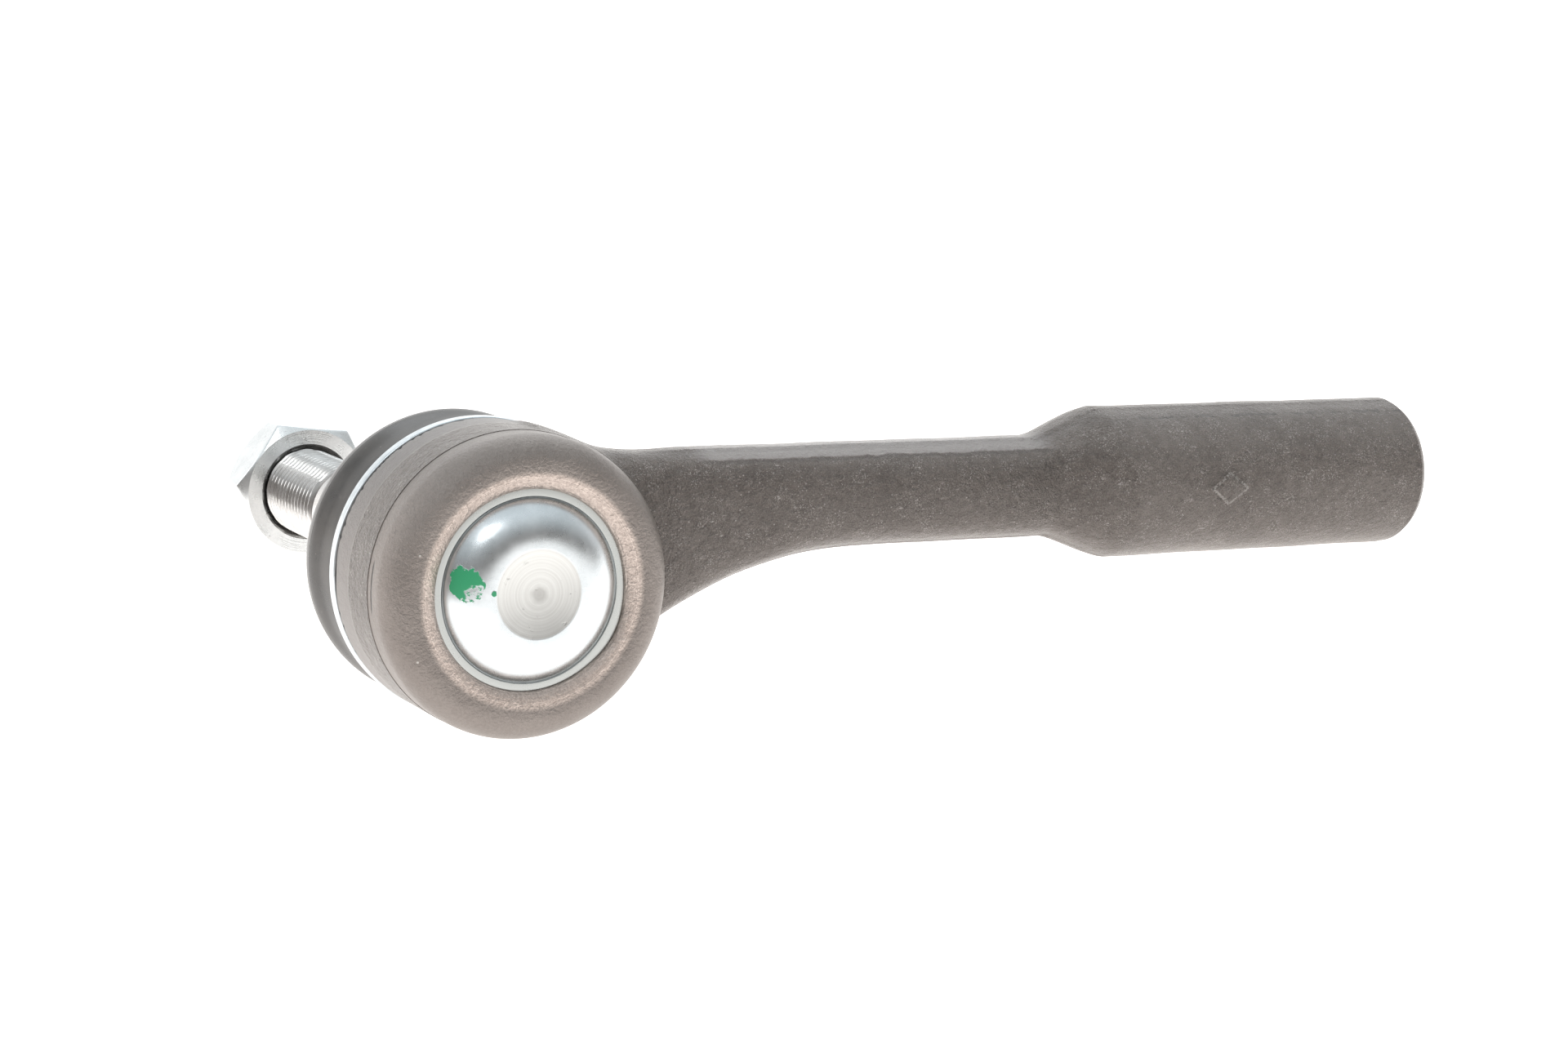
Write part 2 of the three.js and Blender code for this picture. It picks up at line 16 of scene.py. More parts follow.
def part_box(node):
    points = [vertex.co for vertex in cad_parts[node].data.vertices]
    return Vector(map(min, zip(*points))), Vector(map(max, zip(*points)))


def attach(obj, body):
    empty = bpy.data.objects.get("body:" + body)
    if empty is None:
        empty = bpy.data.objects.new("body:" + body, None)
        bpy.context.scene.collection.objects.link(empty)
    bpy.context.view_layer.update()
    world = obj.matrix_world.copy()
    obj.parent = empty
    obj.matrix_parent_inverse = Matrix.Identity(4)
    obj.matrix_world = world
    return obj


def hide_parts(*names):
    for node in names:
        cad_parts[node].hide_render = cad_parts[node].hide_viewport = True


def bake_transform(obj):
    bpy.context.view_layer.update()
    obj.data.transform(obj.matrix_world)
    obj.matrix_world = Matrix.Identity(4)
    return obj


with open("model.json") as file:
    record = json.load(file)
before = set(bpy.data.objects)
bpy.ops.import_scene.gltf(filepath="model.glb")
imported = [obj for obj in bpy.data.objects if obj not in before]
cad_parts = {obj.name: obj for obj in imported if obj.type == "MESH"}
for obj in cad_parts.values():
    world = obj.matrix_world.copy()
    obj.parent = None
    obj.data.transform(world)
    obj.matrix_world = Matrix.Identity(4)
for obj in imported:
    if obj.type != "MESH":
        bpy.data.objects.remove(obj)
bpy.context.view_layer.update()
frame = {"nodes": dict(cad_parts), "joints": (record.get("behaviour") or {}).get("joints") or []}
joints = {joint["name"]: joint for joint in frame["joints"]}
print("nodes:", ", ".join(frame["nodes"]))

# %% [markdown]
# ## One set of measures
# Everything turns or swings about the centre of the ball, so the shapes are easiest to write in
# millimetres from that point. The radius is measured from the stud's own axis, which runs along Y: the
# cover is on the low side and the nut on the high side. The main sizes are read from the boxes of the
# skeleton's nodes, so that the finish follows the part if a size changes there.

# %% Read the main sizes
MM = 0.001
BALL_CENTRE = np.array(joints["stud_swing_x"]["pos_m"]) / MM


def extent(node):
    """Lowest and highest corner of a skeleton node, in millimetres from the ball centre."""
    low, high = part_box(node)
    return np.array(low) / MM - BALL_CENTRE, np.array(high) / MM - BALL_CENTRE


housing_low, housing_high = extent("housing")
cover_low, cover_high = extent("end_cover")
boot_low, boot_high = extent("dust_boot")
clamp_low, clamp_high = extent("boot_clamp_ring")
neck_ring_low, neck_ring_high = extent("boot_neck_ring")
stud_high = extent("ball_stud")[1]
nut_low, nut_high = extent("lock_nut")
insert_low, insert_high = extent("nut_locking_insert")

HEAD_RADIUS = -housing_low[0]
REACH = housing_high[0]
CREST = -housing_low[1]
COLLAR_BACK = housing_high[1]
COVER_RADIUS = cover_high[0]
COVER_FACE = -cover_low[1]
BALL_RADIUS = stud_high[0]
STUD_LENGTH = stud_high[1]
print(f"head radius {HEAD_RADIUS:.1f} mm, reach {REACH:.1f} mm, stud {STUD_LENGTH:.1f} mm")

# %% [markdown]
# ## From numbers to a surface
# A turned part is a profile carried round an axis, so its surface is a function of two numbers: how
# far along the profile, and which angle. numpy works out the whole grid of points at once. The grid is
# then joined into triangles. A row that has shrunk to a single point, as at the end of a shaft, is
# welded into one corner, and the last column joins the first, so that the skin has no gap.

# %% Grid and mesh helpers
def smooth(value, low, high):
    """Goes from 0 at low to 1 at high along the curve 3t^2 - 2t^3, flat at both ends."""
    t = np.clip((value - low) / (high - low), 0, 1)
    return t * t * (3 - 2 * t)


def build(name, points, faces, crease=38):
    """Puts points (millimetres from the ball centre) and faces into a smooth-shaded object."""
    mesh = bpy.data.meshes.new(name)
    mesh.from_pydata(((points + BALL_CENTRE) * MM).tolist(), [], faces.tolist())
    mesh.shade_smooth()
    mesh.set_sharp_from_angle(angle=math.radians(crease))
    thing = bpy.data.objects.new(name, mesh)
    bpy.context.scene.collection.objects.link(thing)
    print(f"{name}: {len(points)} points, {len(faces)} faces")
    return thing


def skin(grid, rows_meet=False):
    """Joins a grid of points (rows, columns, xyz) into triangles that face outwards."""
    rows, columns = grid.shape[:2]
    index = np.arange(rows * columns).reshape(rows, columns)
    for end in (0, -1):
        if np.ptp(grid[end], axis=0).max() < 1e-9:
            index[end] = index[end, 0]
    if rows_meet:
        index = np.vstack([index, index[:1]])
    beside = np.roll(index, -1, axis=1)
    corners = [index[:-1], beside[:-1], beside[1:], index[1:]]
    a, b, c, d = (corner.ravel() for corner in corners)
    faces = np.vstack([np.column_stack([a, b, c]), np.column_stack([a, c, d])])
    shrunk = (faces[:, 0] == faces[:, 1]) | (faces[:, 1] == faces[:, 2]) | (faces[:, 2] == faces[:, 0])
    faces = faces[~shrunk]
    used, faces = np.unique(faces, return_inverse=True)
    points, faces = grid.reshape(-1, 3)[used], faces.reshape(-1, 3)
    p, q, r = (points[faces[:, k]] for k in range(3))
    if np.einsum("ij,ij->", p, np.cross(q, r)) < 0:
        faces = faces[:, ::-1]
    return points, faces


def around_stud(radius, height, angle):
    """Points of a surface about the stud's axis, from its radius, height along Y and angle."""
    radius, height, angle = np.broadcast_arrays(radius, height, angle)
    return np.stack([radius * np.cos(angle), height, radius * np.sin(angle)], axis=-1)


def full_turn(columns):
    """Angles of the columns of a turned surface."""
    return np.linspace(0, 2 * np.pi, columns, endpoint=False)[None, :]


# %% [markdown]
# ## Outlines with rounded corners
# No real edge is perfectly sharp, and the thin bright line along an edge is what makes metal look
# solid. So each outline is a short list of corners, and each corner carries the radius of its round.
# The helper replaces the corner by an arc that touches both straight stretches.

# %% Rounded outline
def outline(corners, closed=False, steps=6):
    """Points of a (radius, height) outline whose corners (radius, height, round) become arcs.

    An arc of radius s that touches both edges starts s / tan(half the corner's angle) before it.
    """
    flat = [np.array(corner[:2], float) for corner in corners]
    rounds = [corner[2] if len(corner) > 2 else 0 for corner in corners]
    count = len(flat)
    points = []
    for i in range(count):
        here = flat[i]
        if rounds[i] == 0 or (not closed and i in (0, count - 1)):
            points.append(here)
            continue
        back, ahead = flat[i - 1] - here, flat[(i + 1) % count] - here
        room = 0.49 * min(np.linalg.norm(back), np.linalg.norm(ahead))
        back, ahead = back / np.linalg.norm(back), ahead / np.linalg.norm(ahead)
        half = math.acos(np.clip(back @ ahead, -1, 1)) / 2
        reach = min(rounds[i] / math.tan(half), room)
        size = reach * math.tan(half)
        middle = back + ahead
        centre = here + middle / np.linalg.norm(middle) * size / math.sin(half)
        first, last = here + back * reach - centre, here + ahead * reach - centre
        start = math.atan2(first[1], first[0])
        sweep = (math.atan2(last[1], last[0]) - start + math.pi) % (2 * math.pi) - math.pi
        for angle in start + sweep * np.linspace(0, 1, steps + 1):
            points.append(centre + size * np.array([math.cos(angle), math.sin(angle)]))
    return np.array(points)


def turned(name, profile, columns=192, closed=False):
    """Carries a (radius, height) profile round the stud's axis."""
    grid = around_stud(profile[:, :1], profile[:, 1:], full_turn(columns))
    return build(name, *skin(grid, rows_meet=closed))


# %% [markdown]
# ## The forging as a distance field
# The housing is one forging: a round head, an arm that swells smoothly out of it, and a barrel. Joining
# separate solids would leave hard creases where the real metal flows. Instead each part is a function
# that says how far a point lies outside it. The smaller of two such distances is their union, and a
# smoothed minimum rounds the inside corner like the fillet of a die. The skin is where it is zero.
# The back of the head is cut flat for the clamp ring, and the collar is added last.

# %% Distances to the head, the arm and the barrel
ARM_Y = -4.0
ARM_Z = HEAD_RADIUS * 0.445
BARREL_RADIUS = 11.8
BARREL_START = REACH - 56
CONE_START = BARREL_START - 12
CONE_LEAD = 2.5  # the upper half swells this much nearer the ball
SIDE_BACK = 2.2
SHOULDER_ROUND = 4.35
COLLAR_RADIUS = HEAD_RADIUS - 3.2
SPARE = 0.8  # metal left on the face and on the barrel's end, which the cutters take off
CORNER_SOFT = 2.6  # width over which the head and the arm run into each other
MARK_X, MARK_LONG, MARK_TALL = BARREL_START + 16.6, 3.8, 2.7  # the raised diamond
RING_ROOM = 0.5  # the flat behind the head reaches this far past its side


def head_distance(x, y, z):
    """A cylinder about Y, rounded wide at the cover's edge and narrowly at the back."""
    radius = np.hypot(x, z)
    front, back = -CREST - SPARE, SIDE_BACK
    middle, half = (front + back) / 2, (back - front) / 2
    rounding = np.where(y < middle, SHOULDER_ROUND, 0.45)
    out = radius - (HEAD_RADIUS - rounding)
    over = np.abs(y - middle) - (half - rounding)
    corner = np.hypot(np.maximum(out, 0), np.maximum(over, 0))
    return corner + np.minimum(np.maximum(out, over), 0) - rounding


def collar_distance(x, y, z):
    """The round collar behind the head, which the boot's bead is clamped to."""
    middle = (COLLAR_BACK + SIDE_BACK) / 2 - 1
    return np.maximum(np.hypot(x, z) - COLLAR_RADIUS, np.abs(y - middle) - (COLLAR_BACK - middle))


def edge_of_arm(x, rod_edge, fillet):
    """Height of the arm's edge: a circle of radius fillet touches both the head and the straight rod."""
    head = HEAD_RADIUS - 0.3
    end = math.sqrt((fillet + head) ** 2 - (fillet + rod_edge) ** 2)
    start = end * head / (fillet + head)
    on_head = np.sqrt(np.maximum(head**2 - x**2, 0))
    on_fillet = rod_edge + fillet - np.sqrt(fillet**2 - np.clip(end - x, 0, fillet) ** 2)
    return np.where(x < start, on_head, on_fillet)


def arm_distance(x, y, z):
    """A rounded square |u|^n + |v|^n = 1 that grows into the round barrel, measured along its ray."""
    lead = CONE_LEAD * np.clip((z - ARM_Z) / 6, 0, 1)
    grow = smooth(x + lead, CONE_START, BARREL_START) * 0.35
    grow += np.clip((x + lead - CONE_START) / (BARREL_START - CONE_START), 0, 1) * 0.65
    root = smooth(x, HEAD_RADIUS, 62)
    top = edge_of_arm(x, ARM_Z + 7.4, 50) - ARM_Z
    bottom = edge_of_arm(x, 7.7 - ARM_Z, 62) + ARM_Z
    wide = 6.2 + 1.2 * root
    power = 2 / (0.72 + 0.14 * root)
    sizes = (np.maximum(size, 1) for size in (top, bottom, wide))
    top, bottom, wide = (size + (BARREL_RADIUS - size) * grow for size in sizes)
    power = power + (2 - power) * grow
    across, up = y - ARM_Y, z - ARM_Z
    tall = np.where(up > 0, top, bottom)
    share = ((np.abs(across) / wide) ** power + (np.abs(up) / tall) ** power) ** (1 / power)
    distance = np.where(share > 0.05, np.hypot(across, up) * (1 - 1 / np.maximum(share, 0.05)), -wide)
    land = (1 - smooth(np.abs(across), 1.5, 2.3)) * smooth(np.abs(up), 4, 6) * smooth(x, 20, 30)
    waves = np.sin(0.31 * x + 1.3 * np.sin(0.17 * z)) * np.sin(0.43 * z + 0.21 * y + 0.09 * x)
    distance = distance - 0.3 * land * (1 - 0.5 * grow) - 0.05 * waves
    diamond = np.abs(x - MARK_X) / MARK_LONG + np.abs(z - ARM_Z) / MARK_TALL
    distance = distance - 0.32 * (1 - smooth(diamond, 0.75, 1.05)) * (y < ARM_Y)
    ends = np.maximum(HEAD_RADIUS * 0.25 - x, x - REACH - SPARE)
    return np.maximum(distance, ends)


def forging_distance(points):
    """The head and the arm with a soft inside corner, cut flat for the clamp ring, and the collar."""
    x, y, z = points[..., 0], points[..., 1], points[..., 2]
    head, arm, soft = head_distance(x, y, z), arm_distance(x, y, z), CORNER_SOFT
    mix = np.clip(0.5 + 0.5 * (arm - head) / soft, 0, 1)
    joined = arm + (head - arm) * mix - soft * mix * (1 - mix)
    ring_seat = np.minimum(y - SIDE_BACK, HEAD_RADIUS + RING_ROOM - np.hypot(x, z))
    return np.minimum(np.maximum(joined, ring_seat), collar_distance(x, y, z))


# %% [markdown]
# ## Finding the skin of the field
# The space is divided into small cubes. Where some corners of a cube are inside the metal and others
# outside, the skin passes through it, and the cube gets one point. Points of neighbouring cubes are
# joined by a square wherever the grid line between them pierces the skin. Last, each point slides
# along the slope of the field until it lies exactly on the skin, which takes away the cubes' marks.

# %% Surface net
CELL = 0.62


def slide_to_skin(points, field, rounds=4):
    """Newton's method: move each point by minus its distance times the slope, over the slope squared."""
    step = 0.02
    for _ in range(rounds):
        value = field(points)
        slope = np.stack([field(points + step * axis) - value for axis in np.eye(3)], axis=-1) / step
        points = points - slope * (value / np.maximum((slope**2).sum(-1), 0.05))[:, None]
    return points


def surface_net(field, low, high):
    """Points and quads on the zero surface of a field inside a box."""
    lines = [np.arange(a, b + CELL, CELL) for a, b in zip(low, high)]
    inside = field(np.stack(np.meshgrid(*lines, indexing="ij"), axis=-1)) < 0
    n = [size - 1 for size in inside.shape]
    corners = [inside[i:i + n[0], j:j + n[1], k:k + n[2]] for i in (0, 1) for j in (0, 1) for k in (0, 1)]
    full = np.sum(corners, axis=0)
    pierced = (full > 0) & (full < 8)
    number = np.full(pierced.shape, -1)
    number[pierced] = np.arange(pierced.sum())
    points = np.array(low) + (np.argwhere(pierced) + 0.5) * CELL
    quads = []
    for axis in range(3):
        turn = [axis, (axis + 1) % 3, (axis + 2) % 3]
        solid, cell = inside.transpose(turn), number.transpose(turn)
        near, far = solid[:-1, 1:-1, 1:-1], solid[1:, 1:-1, 1:-1]
        ring = [cell[:, :-1, :-1], cell[:, 1:, :-1], cell[:, 1:, 1:], cell[:, :-1, 1:]]
        crossing = near != far
        quad = np.column_stack([part[crossing] for part in ring])
        quad[far[crossing]] = quad[far[crossing]][:, ::-1]
        quads.append(quad)
    return slide_to_skin(points, field), np.vstack(quads)


margin = 3 * CELL
blank = build(
    "blank",
    *surface_net(
        forging_distance,
        (-HEAD_RADIUS - margin, -CREST - SPARE - margin, -HEAD_RADIUS - margin),
        (REACH + SPARE + margin, COLLAR_BACK + margin, HEAD_RADIUS + margin),
    ),
)

# %% [markdown]
# ## Cutting the hollows
# The seat for the cover, the bore for the bearing and the tapped hole in the barrel are machined, so
# they are crisp. Each cutter is the shape of the space that the tool leaves. The face tool also turns
# the front of the head: its profile holds the wide shoulder, the crest and the metal lip that is rolled
# over the cover. Where it stops, it leaves the fine step between the turned face and the arm's skin.

# %% Thread form
def thread(turns):
    """Height of a metric thread at a number of turns: 1 on the crest, 0 in the root, straight flanks.

    The crest takes an eighth of the pitch and the root a quarter.
    """
    from_crest = np.abs((turns % 1) - 0.5) * 2
    return np.clip((0.75 - from_crest) / 0.625, 0, 1)


# %% Cutter for the head
LIP_RADIUS = COVER_RADIUS - 0.7
COVER_RIM = COVER_FACE - 3.2
FACE_STEP = 22.35
SEAT_BORE = COVER_RADIUS - 0.1

shoulder_turn = np.radians(np.linspace(0, 90, 16))
lip_turn = np.radians(np.linspace(0, 90, 14))
turned_side = HEAD_RADIUS - 0.06
crest_radius = turned_side - SHOULDER_ROUND
lip_reach, lip_drop = crest_radius - 0.5 - LIP_RADIUS, CREST - COVER_RIM - 0.1
face_profile = np.vstack([
    [(0, -CREST - 3), (FACE_STEP, -CREST - 3), (FACE_STEP, -10.6), (turned_side, -10.6)],
    np.column_stack([
        crest_radius + SHOULDER_ROUND * np.cos(shoulder_turn),
        -CREST + SHOULDER_ROUND * (1 - np.sin(shoulder_turn)),
    ]),
    np.column_stack([
        LIP_RADIUS + lip_reach * (1 - np.sin(lip_turn)),
        -CREST + lip_drop * (1 - np.cos(lip_turn)),
    ]),
    [
        (LIP_RADIUS, -COVER_RIM - 0.05),
        (COVER_RADIUS + 0.3, -COVER_RIM - 0.05),
        (COVER_RADIUS + 0.3, -COVER_RIM + 1.7),
        (SEAT_BORE, -COVER_RIM + 1.7),
        (SEAT_BORE, 1.5),
        (11, COLLAR_BACK - 1.4),
        (12.4, COLLAR_BACK + 0.01),
        (12.4, COLLAR_BACK + 1),
        (0, COLLAR_BACK + 1),
    ],
])

# the rolled lip stands off the cover a little on one side, over about 50 degrees
angle = full_turn(224)
radius, height = face_profile[:, :1], face_profile[:, 1:]
on_lip = (radius >= LIP_RADIUS) * (height <= -COVER_RIM - 0.04)
on_lip = on_lip * (1 - smooth(radius, LIP_RADIUS, LIP_RADIUS + 1.6))
from_gap = (angle - math.radians(-28) + np.pi) % (2 * np.pi) - np.pi
stand_off = 0.5 * np.exp(-((from_gap / math.radians(21)) ** 2))
face_cutter = build("face_cutter", *skin(around_stud(radius + on_lip * stand_off, height, angle)))

# %% Cutter for the barrel
PITCH = 1.5
THREAD_ROWS = 14
bore_bottom = REACH - 46


def around_arm(radius, x, angle):
    """Points of a surface about the arm's axis, from its radius, its place along X and its angle."""
    radius, x, angle = np.broadcast_arrays(radius, x, angle)
    return np.stack([x, ARM_Y + radius * np.cos(angle), ARM_Z + radius * np.sin(angle)], axis=-1)


angle = full_turn(96)
x = np.arange(bore_bottom, REACH - 0.01, PITCH / THREAD_ROWS)[:, None]
tapped = 7.2 + 0.8 * thread(x / PITCH - angle / (2 * np.pi)) * smooth(x, bore_bottom + 2, bore_bottom + 5)
tapped = np.maximum(tapped, 8.4 - (REACH - x))
before = around_arm(np.zeros((1, 1)), bore_bottom - 4.3, angle)
end_profile = np.array([
    (8.4, REACH),
    (BARREL_RADIUS - 1, REACH),
    (BARREL_RADIUS - 0.55, REACH - 0.22),
    (BARREL_RADIUS + 0.5, REACH - 1.9),
    (BARREL_RADIUS + 2, REACH - 1.9),
    (BARREL_RADIUS + 2, REACH + 3),
    (0, REACH + 3),
])
end_face = around_arm(end_profile[:, :1], end_profile[:, 1:], angle)
grid = np.concatenate([before, around_arm(tapped, x, angle), end_face])
bore_cutter = build("bore_cutter", *skin(grid))


# %% Cut the forging
def cut(thing, cutter):
    """Takes the cutter's space out of a closed mesh, and throws the cutter away.

    The manifold solver is needed: the exact one can leave a cutter's end inside this forging.
    """
    modifier = thing.modifiers.new("cut", "BOOLEAN")
    modifier.operation = "DIFFERENCE"
    modifier.solver = "MANIFOLD"
    modifier.object = cutter
    shaped = thing.evaluated_get(bpy.context.evaluated_depsgraph_get())
    mesh = bpy.data.meshes.new_from_object(shaped)
    thing.modifiers.clear()
    thing.data = mesh
    bpy.data.objects.remove(cutter)


cut(blank, face_cutter)
cut(blank, bore_cutter)
housing = blank
housing.name = "housing_forging"
housing.data.set_sharp_from_angle(angle=math.radians(32))
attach(housing, "socket")
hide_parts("housing")
print("housing:", len(housing.data.polygons), "faces")

# %% [markdown]
# ## The pressed cover
# The cover is a steel blank pressed into a dome with a flat top, and zinc plated. Only its rim is held
# by the rolled lip. The rise from the crease to the flat is one smooth curve, steep at first and level
# at the end, with a narrow groove where the punch stopped.

# %% Cover
CREASE_RADIUS = COVER_RADIUS - 1.9
FLAT_RADIUS = CREASE_RADIUS / 2
COVER_WALL = 1.4
dome_height = COVER_FACE - COVER_RIM
share = np.linspace(0, 1, 40)[::-1]
dome_radius = CREASE_RADIUS - 0.12 - (CREASE_RADIUS - 0.12 - FLAT_RADIUS) * share**1.4
rise = (CREASE_RADIUS - dome_radius) / (CREASE_RADIUS - FLAT_RADIUS)
swell = (1 - (1 - np.clip(rise, 0, 1)) ** 2.6) ** 0.9
dome = np.column_stack([dome_radius, -COVER_RIM - dome_height * swell])
coin = [(0, -COVER_FACE + 0.05), (FLAT_RADIUS - 0.35, -COVER_FACE + 0.05), (FLAT_RADIUS - 0.2, -COVER_FACE)]
rim = outline([
    (CREASE_RADIUS - 0.12, -COVER_RIM + 0.02),
    (CREASE_RADIUS, -COVER_RIM + 0.16, 0.1),
    (CREASE_RADIUS + 0.2, -COVER_RIM, 0.1),
    (COVER_RADIUS, -COVER_RIM, 0.3),
    (COVER_RADIUS, -COVER_RIM + COVER_WALL, 0.3),
    (CREASE_RADIUS - 0.7, -COVER_RIM + COVER_WALL, 0.5),
])
inside = dome[::-4] + np.array([-0.7, COVER_WALL])
inside_centre = [(0, -COVER_FACE + COVER_WALL)]
cover_profile = np.vstack([coin, dome, rim, inside[inside[:, 0] > 0.1], inside_centre])
cover = turned("cover_pressing", cover_profile, 224)
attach(cover, "socket")
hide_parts("end_cover")

# %% [markdown]
# ## The ball stud
# Ball, neck, taper and thread are one forging, ground and rolled. The taper wedges into the steering
# arm, one millimetre on the diameter for every ten of length. A row of rings would look like a thread
# from afar but not close up, so the thread is a true helix: the radius depends on the height and on
# the angle together, and climbs one pitch in each turn. It is a right-hand thread, which fades in from
# the relief and fades out at the pointed end.

# %% Stud
THREAD_RADIUS = 7.0
THREAD_DEPTH = 0.613 * PITCH
TAPER_START, TAPER_END = 29.5, 52.5
TAPER_SMALL = THREAD_RADIUS + 0.3
TAPER_BIG = TAPER_SMALL + (TAPER_END - TAPER_START) * 0.05
NECK_RADIUS = 6.5
THREAD_START = TAPER_END + 2
ball_from, ball_to = -math.acos(1 / 3), math.acos(NECK_RADIUS / BALL_RADIUS)
ball_turn = np.linspace(ball_from, ball_to, 60)
ball = BALL_RADIUS * np.column_stack([np.cos(ball_turn), np.sin(ball_turn)])
shaft = outline([
    ball[-1],
    (NECK_RADIUS, BALL_RADIUS + 3.5, 12),
    (TAPER_BIG, TAPER_START - 3.5, 6),
    (TAPER_BIG, TAPER_START, 4),
    (TAPER_SMALL, TAPER_END, 0.3),
    (THREAD_RADIUS - THREAD_DEPTH, TAPER_END + 0.7, 0.3),
    (THREAD_RADIUS - THREAD_DEPTH, THREAD_START, 0.2),
])
plain = np.vstack([[(0, ball[0, 1] + 0.4), (1.2, ball[0, 1])], ball, shaft[1:]])
angle = full_turn(120)
thread_y = np.arange(THREAD_START, STUD_LENGTH - 0.01, PITCH / THREAD_ROWS)[:, None]


def stud_thread(y, angle):
    """Radius of the stud's thread. Turns are counted up the height and back round the angle."""
    return THREAD_RADIUS - THREAD_DEPTH * (1 - thread(y / PITCH + angle / (2 * np.pi)))


root = THREAD_RADIUS - THREAD_DEPTH
threaded = root + (stud_thread(thread_y, angle) - root) * smooth(thread_y, THREAD_START, THREAD_START + 1.2)
threaded = np.minimum(threaded, THREAD_RADIUS - 1.4 + (STUD_LENGTH - thread_y) * 1.1)
tip = np.array([(THREAD_RADIUS - 1.45, STUD_LENGTH), (1.3, STUD_LENGTH), (0, STUD_LENGTH - 0.8)])
grid = np.concatenate([
    around_stud(plain[:, :1], plain[:, 1:], angle),
    around_stud(threaded, thread_y, angle),
    around_stud(tip[:, :1], tip[:, 1:], angle),
])
stud = build("stud_forging", *skin(grid))
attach(stud, "stud")
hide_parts("ball_stud")

# %% [markdown]
# ## The boot and its rings
# A rubber boot keeps the grease in. Its bead is clamped to the housing's collar and its neck grips the
# stud, so it has to bend when the stud leans. The skeleton splits that lean into two hinges, first
# about X and then about Z. The boot is made as two long sleeves that meet in a circle, both in their
# rest shape.

# %% Boot sleeves
SPLIT = 0.53  # share of the way from the collar to the neck
GROOVE_BACK = COLLAR_BACK - 2
NECK_Y = TAPER_START - 5.3
bulge_radius = boot_high[0]
neck_in = TAPER_BIG + 0.3
neck_out = neck_in + 1.7
bead_out = clamp_high[0] - 1.2
bead_front = boot_low[1]
neck_end = boot_high[1]
wall_at_collar = COLLAR_RADIUS + 1.0


def along(share):
    """Height at a share of the way from the housing's groove to the boot's neck."""
    return GROOVE_BACK + (NECK_Y - GROOVE_BACK) * share


def across(share):
    """Radius at a share of the way from the neck's outside to the top of the bulge."""
    return neck_out + (bulge_radius - neck_out) * share


def flowing(corners, count):
    """A smooth curve through all its corners (Catmull-Rom: the slope at a corner joins its neighbours)."""
    c = np.array(corners, float)
    c = np.vstack([2 * c[0] - c[1], c, 2 * c[-1] - c[-2]])
    t = np.linspace(0, len(c) - 3, count)
    i = np.minimum(t.astype(int), len(c) - 4)
    t = (t - i)[:, None]
    a, b, d, e = c[i], c[i + 1], c[i + 2], c[i + 3]
    return 0.5 * (2 * b + (d - a) * t + (2 * a - 5 * b + 4 * d - e) * t**2 + (3 * b - a - 3 * d + e) * t**3)


bulge = flowing([
    (wall_at_collar + 1.1, along(0.04)),
    (across(0.945), along(0.2)),
    (across(1), along(0.398)),
    (across(0.93), along(0.568)),
    (across(0.70), along(0.739)),
    (across(0.33), along(0.864)),
    (neck_out + 0.4, along(0.965)),
], 90)
split_y = along(SPLIT)
step_along = np.gradient(bulge, axis=0)
step_along /= np.linalg.norm(step_along, axis=1)[:, None]
lining = bulge + 1.5 * np.column_stack([-step_along[:, 1], step_along[:, 0]])
lower = bulge[:, 1] <= split_y
lining_lower = lining[lower]
bead = outline([
    (COLLAR_RADIUS + 0.3, bead_front + 0.2),
    (bead_out, bead_front + 0.2, 0.2),
    (bead_out, bead_front + 2.2, 0.3),
    (wall_at_collar + 1.1, along(0.0), 0.3),
    bulge[0],
])[:-1]
inner_bead = [
    (wall_at_collar, along(0.02)),
    (wall_at_collar, GROOVE_BACK - 1.4),
    (COLLAR_RADIUS + 0.3, GROOVE_BACK - 1.6),
]
below = np.vstack([bead, bulge[lower], lining_lower[lining_lower[:, 1] > along(0.04)][::-1], inner_bead])
neck = outline([
    bulge[-1],
    (neck_out, NECK_Y + 0.6, 0.4),
    (neck_out, neck_end - 1.6, 0.3),
    (neck_out + 0.8, neck_end - 1.1, 0.3),
    (neck_out + 0.8, neck_end, 0.3),
    (neck_in, neck_end, 0.2),
    (neck_in, NECK_Y, 0.6),
    lining[-1],
])[1:]
above = np.vstack([bulge[~lower], neck, lining[~lower][::-1][1:]])
above = np.vstack([bulge[lower][-1:], above, lining_lower[-1:]])
BOOT_COLUMNS = 200
sleeve_low = turned("boot_lower_sleeve", below, BOOT_COLUMNS, closed=True)
sleeve_high = turned("boot_upper_sleeve", above, BOOT_COLUMNS, closed=True)
meet_y = (bulge[lower][-1, 1] + BALL_CENTRE[1]) * MM
bend_from = (0, (bead_front + 2.2 + BALL_CENTRE[1]) * MM, 0)
bend_to = (0, (NECK_Y + BALL_CENTRE[1]) * MM, 0)
meet_y - 0.0002
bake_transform(sleeve_low)
meet_y + 0.0002
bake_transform(sleeve_high)
for sleeve in (sleeve_low, sleeve_high):
    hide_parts("dust_boot")

# %% [markdown]
# ## The two rings
# The boot's bead is held by a flat band round the collar. Its neck is held by a ring of flat wire, wound
# twice round. The wire's section follows the coil's angle, and both ends close in a point.

# %% Clamp ring and neck ring
clamp = turned("clamp_band", outline([
    (clamp_high[0] - 0.9, clamp_low[1]),
    (clamp_high[0], clamp_low[1], 0.25),
    (clamp_high[0], clamp_high[1], 0.25),
    (clamp_high[0] - 0.9, clamp_high[1]),
], closed=True), 224, closed=True)
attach(clamp, "socket")
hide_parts("boot_clamp_ring")

